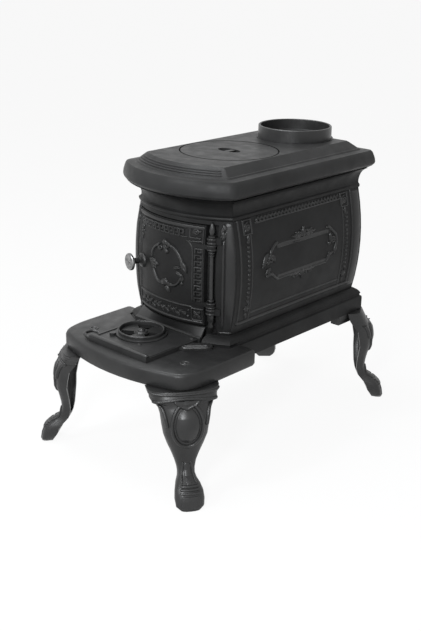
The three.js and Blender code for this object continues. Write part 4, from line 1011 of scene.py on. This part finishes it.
@dataclass
class FrontPostRelief:
    """Ribs, leaf heads and small plinths on the posts beside the door. Forms lie over X and Z.

    A rib's numbers are its middle, half width and rise; it follows a share of the side's bulge.
    """

    walls: Firebox
    paint: Material
    pitch: float = 0.9
    right_xs: Point = (110.5, 144)
    left_xs: Point = (-144, -111.5)
    zs: Point = (283, 521)
    rib: tuple[float, float, float] = (119.5, 2.2, 1.8)
    rib_follows: float = 0.35
    rib_ends: Point = (296, 484)
    rib_fade: float = 8
    broad: tuple[float, float, float] = (129.5, 6.6, 2.4)
    broad_follows: float = 0.69
    broad_widens: float = 0.22
    broad_ends: Point = (286, 520)
    broad_fades: Point = (44, 50)
    head: Forms = (
        Leaf((113.5, 484), 62, 20, 4.6, 3.4),
        Leaf((120.5, 488), 108, 20, 4.4, 3.6),
        Leaf((113, 501), 55, 15, 4, 3.2),
        Leaf((121, 505), 112, 13, 3.8, 3.4),
        Dome((117.5, 497), 3.4, 4),
    )
    plinth: Form = Bead(((113.5, 286), (130, 286)), 2.4, 1)

    def build(self) -> None:
        """Makes both posts."""
        for side in Side:
            xs = self.right_xs if side is Side.RIGHT else self.left_xs
            thing = relief(
                f"front_post_{side.name.lower()}", self.walls.front(), self.height(side),
                span(*xs, self.pitch), span(*self.zs, self.pitch), (0, -1, 0),
            )
            dress(thing, self.paint)

    def height(self, side: Side) -> HeightFn:
        """Relief of one post: its ribs follow the bulge of the corner."""

        def at(x: Array, z: Array) -> Array:
            out = x * side.value
            shift = self.walls.side_bulge * (self.walls.bulge(z) - 0.5)
            middle, half, rise = self.rib
            rib = half_round(out - middle - self.rib_follows * shift, half, rise)
            low, high = self.rib_ends
            rib = rib * np.clip((z - low) / self.rib_fade, 0, 1) * np.clip((high - z) / self.rib_fade, 0, 1)
            middle, half, rise = self.broad
            broad = half_round(
                out - middle - self.broad_follows * shift, half + self.broad_widens * shift, rise,
            )
            (low, high), (rising, falling) = self.broad_ends, self.broad_fades
            broad = broad * np.clip((z - low) / rising, 0, 1) * np.clip((high - z) / falling, 0, 1)
            return np.maximum.reduce([rib, broad, heights(out, z, [*self.head, self.plinth])])

        return at


# ---- Relief on the top ----


@dataclass
class DeckRelief:
    """Fine steps along the bevel in front of the deck.

    The bevel is ruled between two arcs: with t the share of the way up, its half length, its
    front point, the arc's rise to the corners and its height all go evenly from foot to top.
    """

    paint: Material
    half: Point = (122.3, 108.9)
    front: Point = (-202.5, -186.5)
    bow: Point = (39.7, 33.7)
    levels: Point = (612.3, 625.5)
    slope: float = 20.7
    beads: Forms = tuple(Bead(((-130, at), (130, at)), 1.9, 1.5) for at in (3.5, 9.3, 15))

    def build(self) -> None:
        """Makes the steps."""
        thing = relief(
            "deck_bevel_steps", self.surface, self.steps, span(-self.half[0], self.half[0], 2),
            span(0, self.slope, 0.5), (0, -1, 1), bury=0.4, root=1.2,
        )
        dress(thing, self.paint)

    def surface(self, u: Array, v: Array) -> Array:
        """Bevel point over the distance along its foot and the distance up its slope."""
        share = v / self.slope
        ends = (self.half, self.front, self.bow, self.levels)
        half, front, bow, z = (low + (high - low) * share for low, high in ends)
        x = u / self.half[0] * half
        radius = (half**2 + bow**2) / (2 * bow)
        return np.stack([x, front + radius - np.sqrt(radius**2 - x**2), z], axis=-1)

    def steps(self, u: Array, v: Array) -> Array:
        """Three beads, one above the other, that stop before the corners."""
        return np.clip((self.half[0] - 5 - np.abs(u)) / 3, 0, 1) * heights(u, v, self.beads)


# ---- Turned bands ----


@dataclass
class TurnedBands:
    """Collars on the hinge rod, bands on its knuckles, and a thin near-black ring in the gap
    round the cook lid that paints the gap's shadow.

    A collar's row is low, high and radius, and a band's row is low, high and body.
    """

    finishes: Finishes
    rod: Point = (100, -173.5)
    rod_radius: float = 4.5
    knuckle_radii: Point = (8.2, 10.7)
    collars: tuple[tuple[float, float, float], ...] = (
        (456.6, 460.4, 7.4), (450.6, 454, 6.6), (355.6, 359.4, 7.4), (491.2, 494.2, 6.6), (320, 323.6, 6.8),
    )
    bands: tuple[tuple[float, float, Body], ...] = (
        (326.2, 331.4, Body.STOVE), (334.4, 339.6, Body.STOVE), (476.2, 481.4, Body.STOVE),
        (484.4, 489.6, Body.STOVE), (340.8, 344.6, Body.DOOR), (349.4, 353, Body.DOOR),
        (463, 466.8, Body.DOOR), (471.4, 475, Body.DOOR),
    )
    lid: Point = (0, -13.5)
    lid_line: Point = (104.25, 106.1)
    line_heights: Point = (627.4, 628.22)

    def build(self) -> None:
        """Makes every band."""
        for number, (low, high, radius) in enumerate(self.collars, 1):
            profile = round_band(self.rod_radius - 0.6, radius, low, high)
            dress(turned_ring(f"hinge_collar_{number}", self.rod, profile), self.finishes.relief)
        for number, (low, high, body) in enumerate(self.bands, 1):
            profile = round_band(*self.knuckle_radii, low, high)
            dress(turned_ring(f"knuckle_band_{number}", self.rod, profile), self.finishes.relief, body)
        # painted shadow: a flat near-black ring laid in the gap round the cook lid, where there is only shade
        (inner, outer), (low, high) = self.lid_line, self.line_heights
        profile = [(inner, low), (outer, low), (outer, high), (inner, high)]
        dress(turned_ring("cook_lid_painted_gap_shadow", self.lid, profile, 120), self.finishes.soot)


# ---- Relief on the legs ----


@dataclass(frozen=True)
class LegForm:
    """Outer face of a cabriole leg. Rows are height, face, back, half width and heel taper.

    With a the angle from the middle and k one less the 0.62nd power of its cosine, a point lies
    at face less (face less back) times k outwards, and at half width times the 0.8th power of
    its sine, less the taper, across.
    """

    toe: Point = (227.5, 360.5)
    splay: float = 35
    inward_power: float = 0.62
    across_power: float = 0.8
    rows: tuple[tuple[float, float, float, float, float], ...] = (
        (0, 0, -27, 27, 0.45), (7, -1, -31, 37, 0.42), (20, -3, -40, 38, 0.36), (34, -8, -45, 35, 0.3),
        (43, -16.5, -51.4, 29.5, 0.25), (51, -26.5, -58.7, 22.1, 0.18), (58, -38, -64.6, 18.6, 0.1),
        (68, -44, -68.1, 18.8, 0.05), (82, -48, -70.5, 21.8, 0), (98, -47.3, -71, 27.8, 0),
        (118, -44.5, -71, 36.4, 0), (140, -39.5, -70, 43.8, 0), (160, -38.8, -73.5, 46.9, 0),
        (180, -41.2, -78.5, 49, 0), (196, -47.5, -91, 53, 0), (203, -51.5, -95, 55, 0),
        (207, -52.5, -97, 67, 0), (215, -55.3, -101.5, 67.5, 0), (218, -57.5, -104, 70.5, 0),
        (227.3, -62, -110, 73.3, 0),
    )

    def row(self, height: Array) -> list[Array]:
        """Face, back, half width and taper at a height."""
        table = np.array(self.rows, float)
        return [np.interp(height, table[:, 0], table[:, k]) for k in range(1, 5)]

    def surface(self, side: Side, end: int) -> SurfaceFn:
        """Outer face over the angle and the height, at one corner of the stove.

        Args:
            side: Left or right.
            end: -1 at the front and 1 at the rear.

        Returns:
            The surface.
        """
        splay = math.radians(self.splay)
        out = np.array([math.cos(splay) * side.value, math.sin(splay) * end])
        across = np.array([-out[1], out[0]])
        toe = np.array([self.toe[0] * side.value, self.toe[1] * end])

        def at(angle: Array, height: Array) -> Array:
            face, back, _, _ = self.row(height)
            reach = face - (face - back) * self.inward(angle)
            xy = toe + out * reach[..., None] + across * self.across(angle, height)[..., None]
            return np.concatenate([xy, height[..., None]], axis=-1)

        return at

    def inward(self, angle: Array) -> Array:
        """Share of the way from the face to the back at an angle."""
        return 1 - np.abs(np.cos(angle)) ** self.inward_power

    def across(self, angle: Array, height: Array) -> Array:
        """Distance across the leg at an angle and a height."""
        _, _, half, taper = self.row(height)
        curve = np.sign(np.sin(angle)) * np.abs(np.sin(angle)) ** self.across_power
        return curve * (1 - taper * self.inward(angle)) * half


@dataclass
class LegRelief:
    """Oval boss in a ring, crest, flutes, ribs and foot panel on each leg.

    Forms lie over the distance across the leg and the height.
    """

    paint: Material
    front: LegForm = LegForm()
    rear: LegForm = LegForm(toe=(188, 364.3), splay=45)
    half_angle: float = 1.3
    columns: int = 170
    pitch: float = 0.85
    foot: float = 3
    front_top: float = 226
    rear_top: float = 196
    oval: Point = (0, 164)
    oval_radii: Point = (24.5, 36)
    oval_rise: float = 8
    crest_foot: float = 195.5
    crest_half: float = 23
    crest_drop: float = 14
    crest_rise: float = 5
    panel_rise: float = 1.3
    panel_heights: Point = (4, 29)
    panel_slope: float = 1.2
    forms: Forms = (
        Bead(ring_of((0, 164), (30.5, 44)), 3.3, 4.4),
        Bead(softened([(-58, 203), (-46, 198), (-39, 164)], 10), 3.2, 4),
        Bead(softened([(58, 203), (46, 198), (39, 164)], 10), 3.2, 4),
        Bead(softened([(-8, 82), (-9.5, 70), (-14, 50)], 6), 2.2, 2.8),
        Bead(softened([(8, 82), (9.5, 70), (14, 50)], 6), 2.2, 2.8),
        Bead(((0, 53), (0, 76)), 7, 1.5),
        *(Bead(((-half, at), (half, at)), 2.1, 2.6) for at, half in ((44.5, 15.5), (39.5, 17), (34, 18.5))),
        Bead(((-72, 222.6), (72, 222.6)), 2.3, 2.2),
        Bead(((-62, 207.5), (-40, 212), (0, 215.5), (40, 212), (62, 207.5)), 2.6, 2.8),
        Bead(((-23, 209.5), (-11, 201), (0, 196.5), (11, 201), (23, 209.5)), 2.2, 6.6),
        *(Leaf((0, 206.5), turn, 7.5, 2.4, 6.6) for turn in range(0, 360, 60)),
        Dome((0, 206.5), 2.4, 7.2),
    )

    def build(self) -> None:
        """Lays the relief on the four legs."""
        for form, end, word, top in (
            (self.front, -1, "front", self.front_top), (self.rear, 1, "rear", self.rear_top),
        ):
            for side in Side:
                thing = relief(
                    f"leg_relief_{word}_{side.name.lower()}", form.surface(side, end), self.height(form),
                    np.linspace(-self.half_angle, self.half_angle, self.columns),
                    span(self.foot, top, self.pitch), (side.value, end, 0), bury=1, root=2,
                )
                dress(thing, self.paint)

    def height(self, form: LegForm) -> HeightFn:
        """Relief of a leg over its angle and height."""

        def at(angle: Array, z: Array) -> Array:
            w = form.across(angle, z)
            (middle, height), (half_width, half_height) = self.oval, self.oval_radii
            share = np.hypot((w - middle) / half_width, (z - height) / half_height)
            boss = self.oval_rise * np.clip(1 - share**2, 0, 1) ** 0.8
            lines = heights(w, z, self.forms)
            return np.maximum.reduce([boss, lines, self.crest(w, z), self.foot_panel(w, z)])

        return at

    def crest(self, w: Array, z: Array) -> Array:
        """Flat field of the hanging three-cornered crest."""
        drop = (z - self.crest_foot) / self.crest_drop
        inside = (drop > 0) & (drop < 1.2) & (np.abs(w) < self.crest_half * np.clip(drop, 0, 1))
        return np.where(inside, self.crest_rise, 0)

    def foot_panel(self, w: Array, z: Array) -> Array:
        """Raised flat panel on the toe with sloping edges."""
        half = 18.5 - 3.5 * np.clip((z - 22) / 7, 0, 1)
        low, high = self.panel_heights
        inset = np.minimum(half - np.abs(w), np.minimum(z - low, high - z))
        return self.panel_rise * np.clip(inset / self.panel_slope, 0, 1)


# ---- Relief on the hearth and the swing lid ----


@dataclass
class SwingLidRelief:
    """Raised lines of the swing lid and its ear, the draft wheel's rim and the bolts' rings.

    Forms lie over X and Y.
    """

    paint: Material
    hub: Point = (-27, -246.5)
    lid_top: float = 270.9
    front_rim_top: float = 275.4
    wheel_rim_top: float = 280.2
    ear_top: float = 268.9
    hearth_top: float = 262.6
    bolts: Point = (134, -284)
    wheel_rim_radius: float = 47.2
    ear_line: tuple[Point, Point] = ((88, -236), (116, -206))
    lid_edges: Forms = (
        Strip(((-84, -196), (-84, -324)), 2.6, 1.8),
        Strip(((76, -252), (76, -324)), 2.6, 1.8),
        Bead(((-80, -322), (74, -322)), 1.6, 1.4),
    )
    front_form: Form = Bead(((-83, -333.5), (75, -333.5)), 5.2, 2.6)

    def build(self) -> None:
        """Makes the lines of the lid, the ear, the wheel and the bolt heads."""
        lid = Body.ASH_LID
        self.add("swing_lid_lines", self.lid_top, self.lid_lines, (-86, 78), (-326, -190), 1.2, lid)
        bar = self.front_form.on
        self.add("swing_lid_front_bar", self.front_rim_top, bar, (-88, 80), (-339, -328), 0.9, lid)
        self.add("swing_lid_ear_ribs", self.ear_top, self.ear_ribs, (82, 124), (-246, -186), 0.9, lid)
        xs, ys = ((middle - 50, middle + 50) for middle in self.hub)
        self.add("draft_wheel_rim_bead", self.wheel_rim_top, self.wheel_rim, xs, ys, 0.9, Body.DRAFT)
        for side in Side:
            x, y = self.bolts[0] * side.value, self.bolts[1]
            self.add(f"hearth_bolt_ring_{side.name.lower()}", self.hearth_top, self.bolt_ring,
                     (x - 12, x + 12), (y - 12, y + 12), 0.8, Body.STOVE)

    def add(
        self, name: str, z: float, height: HeightFn, xs: Point, ys: Point, pitch: float, body: Body
    ) -> None:
        """Lays one relief on a level face."""

        def level(x: Array, y: Array) -> Array:
            return np.stack([x, y, np.full(x.shape, z)], axis=-1)

        thing = relief(name, level, height, span(*xs, pitch), span(*ys, pitch), (0, 0, 1), bury=0.4, root=1)
        dress(thing, self.paint, body)

    def lid_lines(self, x: Array, y: Array) -> Array:
        """Raised border along the lid's left and right edges, and a thin line behind its front bar."""
        return heights(x, y, self.lid_edges)

    def ear_ribs(self, x: Array, y: Array) -> Array:
        """Two ridges along the ear round its pivot."""
        return half_round(line_distance(x, y, self.ear_line) - 5, 2.2, 3)

    def wheel_rim(self, x: Array, y: Array) -> Array:
        """Round bead on the wheel's rim."""
        return half_round(np.hypot(x - self.hub[0], y - self.hub[1]) - self.wheel_rim_radius, 1.7, 1.6)

    def bolt_ring(self, x: Array, y: Array) -> Array:
        """Ring and dot of a sunk bolt head."""
        near = np.hypot(np.abs(x) - self.bolts[0], y - self.bolts[1])
        return np.maximum(half_round(near - 8, 1.8, 1.3), half_round(near, 3.6, 1.4))


# ---- Stage ----


def seen_rays(tree: bpy.types.NodeTree) -> bpy.types.NodeSocket:
    """One for rays from the camera, in reflections and through glass, and nothing for others.

    Args:
        tree: Node tree of a material or a world.

    Returns:
        The value socket.
    """
    path = tree.nodes.new("ShaderNodeLightPath")
    total = path.outputs["Is Camera Ray"]
    for name in ("Is Glossy Ray", "Is Transmission Ray"):
        add = tree.nodes.new("ShaderNodeMath")
        add.operation = "ADD"
        add.use_clamp = True
        tree.links.new(total, add.inputs[0])
        tree.links.new(path.outputs[name], add.inputs[1])
        total = add.outputs["Value"]
    return total


@dataclass(frozen=True)
class PhotoView:
    """Camera and light of the photograph. A lamp's row is name, place, watts, edge and aim."""

    place: tuple[float, float, float] = (1387.6, -1607.6, 1045.8)
    turn: float = 41.925
    tilt: float = -20.52
    roll: float = 1.096
    lens: float = 57.5
    sensor: float = 36.0
    floor_white: float = 0.93
    floor_grey: float = 0.92
    floor_half: float = 40000.0
    world_light: float = 0.10
    lamp_colour: tuple[float, float, float] = (0.96, 0.98, 1.0)
    lamps: tuple[tuple[str, tuple[float, ...], float, float, tuple[float, ...]], ...] = (
        ("overhead", (-0.5, -0.3, 2.7), 46.0, 1.1, (0.0, 0.0, 0.4)),
        ("camera_side", (1.0, -1.95, 1.45), 40.0, 0.35, (0.0, -0.1, 0.3)),
        ("left_front", (-0.5, -2.3, 2.0), 26.0, 0.35, (0.0, -0.1, 0.35)),
    )

    def camera(self) -> None:
        """Places the camera: turned about Z, tilted from level and rolled about its view."""
        data = bpy.data.cameras.new("photo_camera")
        data.lens = self.lens
        data.sensor_width = self.sensor
        data.sensor_fit = "AUTO"
        data.clip_start, data.clip_end = 0.05, 50.0
        thing = bpy.data.objects.new("photo_camera", data)
        bpy.context.scene.collection.objects.link(thing)
        yaw, pitch, roll = (math.radians(angle) for angle in (self.turn, 90 + self.tilt, self.roll))
        thing.matrix_world = (
            Matrix.Translation([value * MM for value in self.place])
            @ Matrix.Rotation(yaw, 4, "Z") @ Matrix.Rotation(pitch, 4, "X") @ Matrix.Rotation(roll, 4, "Z")
        )
        bpy.context.scene.camera = thing

    def lamp(
        self, name: str, place: Sequence[float], power: float, size: float, aim: Sequence[float]
    ) -> None:
        """A square area lamp that looks at a point.

        Args:
            name: Name of the lamp.
            place: Where it hangs, in metres.
            power: Its power in watts.
            size: Its edge in metres.
            aim: The point that it looks at, in metres.
        """
        data = bpy.data.lights.new(name, "AREA")
        data.energy, data.size = power, size
        data.color = self.lamp_colour
        thing = bpy.data.objects.new(name, data)
        thing.location = place
        bpy.context.scene.collection.objects.link(thing)
        back = np.array(place) - np.array(aim)
        level = math.hypot(back[0], back[1])
        thing.rotation_euler = (math.atan2(level, back[2]), 0.0, math.atan2(back[0], -back[1]))

    def world(self) -> None:
        """Pale world: white to the camera and in reflections, softer as light."""
        world = bpy.data.worlds.new("pale_room")
        bpy.context.scene.world = world
        world.use_nodes = True
        nodes, links = world.node_tree.nodes, world.node_tree.links
        background = nodes["Background"]
        background.inputs["Color"].default_value = (1.0, 1.0, 1.0, 1.0)
        strength = nodes.new("ShaderNodeMapRange")
        strength.inputs["To Min"].default_value = self.world_light
        strength.inputs["To Max"].default_value = 1.0
        links.new(seen_rays(world.node_tree), strength.inputs["Value"])
        links.new(strength.outputs["Result"], background.inputs["Strength"])

    def floor(self) -> None:
        """White floor that keeps the stove's shadow and looks white where it isn't shaded."""
        half = self.floor_half
        points = np.array([(-half, -half, 0.0), (half, -half, 0.0), (half, half, 0.0), (-half, half, 0.0)])
        thing = mesh_object("floor", points, [(0, 1, 2, 3)])
        material, shader = new_material("white_floor")
        shader.inputs["Base Color"].default_value = (*[self.floor_grey] * 3, 1.0)
        shader.inputs["Roughness"].default_value = 0.9
        shader.inputs["Specular IOR Level"].default_value = 0.0
        nodes, links = material.node_tree.nodes, material.node_tree.links
        white = nodes.new("ShaderNodeEmission")
        share = nodes.new("ShaderNodeMath")
        share.operation = "MULTIPLY"
        share.inputs[1].default_value = self.floor_white
        both = nodes.new("ShaderNodeMixShader")
        links.new(seen_rays(material.node_tree), share.inputs[0])
        links.new(share.outputs["Value"], both.inputs["Fac"])
        links.new(shader.outputs["BSDF"], both.inputs[1])
        links.new(white.outputs["Emission"], both.inputs[2])
        links.new(both.outputs["Shader"], nodes["Material Output"].inputs["Surface"])
        thing.data.materials.append(material)

    def build(self) -> None:
        """Sets the camera, the lamps, the world and the floor."""
        self.camera()
        for row in self.lamps:
            self.lamp(*row)
        self.world()
        self.floor()
        bpy.context.scene.view_settings.view_transform = "Standard"


# ---- Assembly ----


def main() -> None:
    """Builds the dressed stove on the frame and sets the photograph's view."""
    logging.basicConfig(level=logging.INFO, format="%(name)s %(message)s")
    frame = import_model()
    finishes = Finishes.make()
    walls = Firebox()
    Castings(frame["nodes"], finishes).build()
    SidePanelRelief(walls, finishes.relief).build()
    DoorRelief(walls, finishes.relief).build()
    FrontPostRelief(walls, finishes.relief).build()
    TurnedBands(finishes).build()
    LegRelief(finishes.legs).build()
    SwingLidRelief(finishes.legs).build()
    DeckRelief(finishes.deck).build()
    PhotoView().build()


if __name__ == "__main__":
    main()
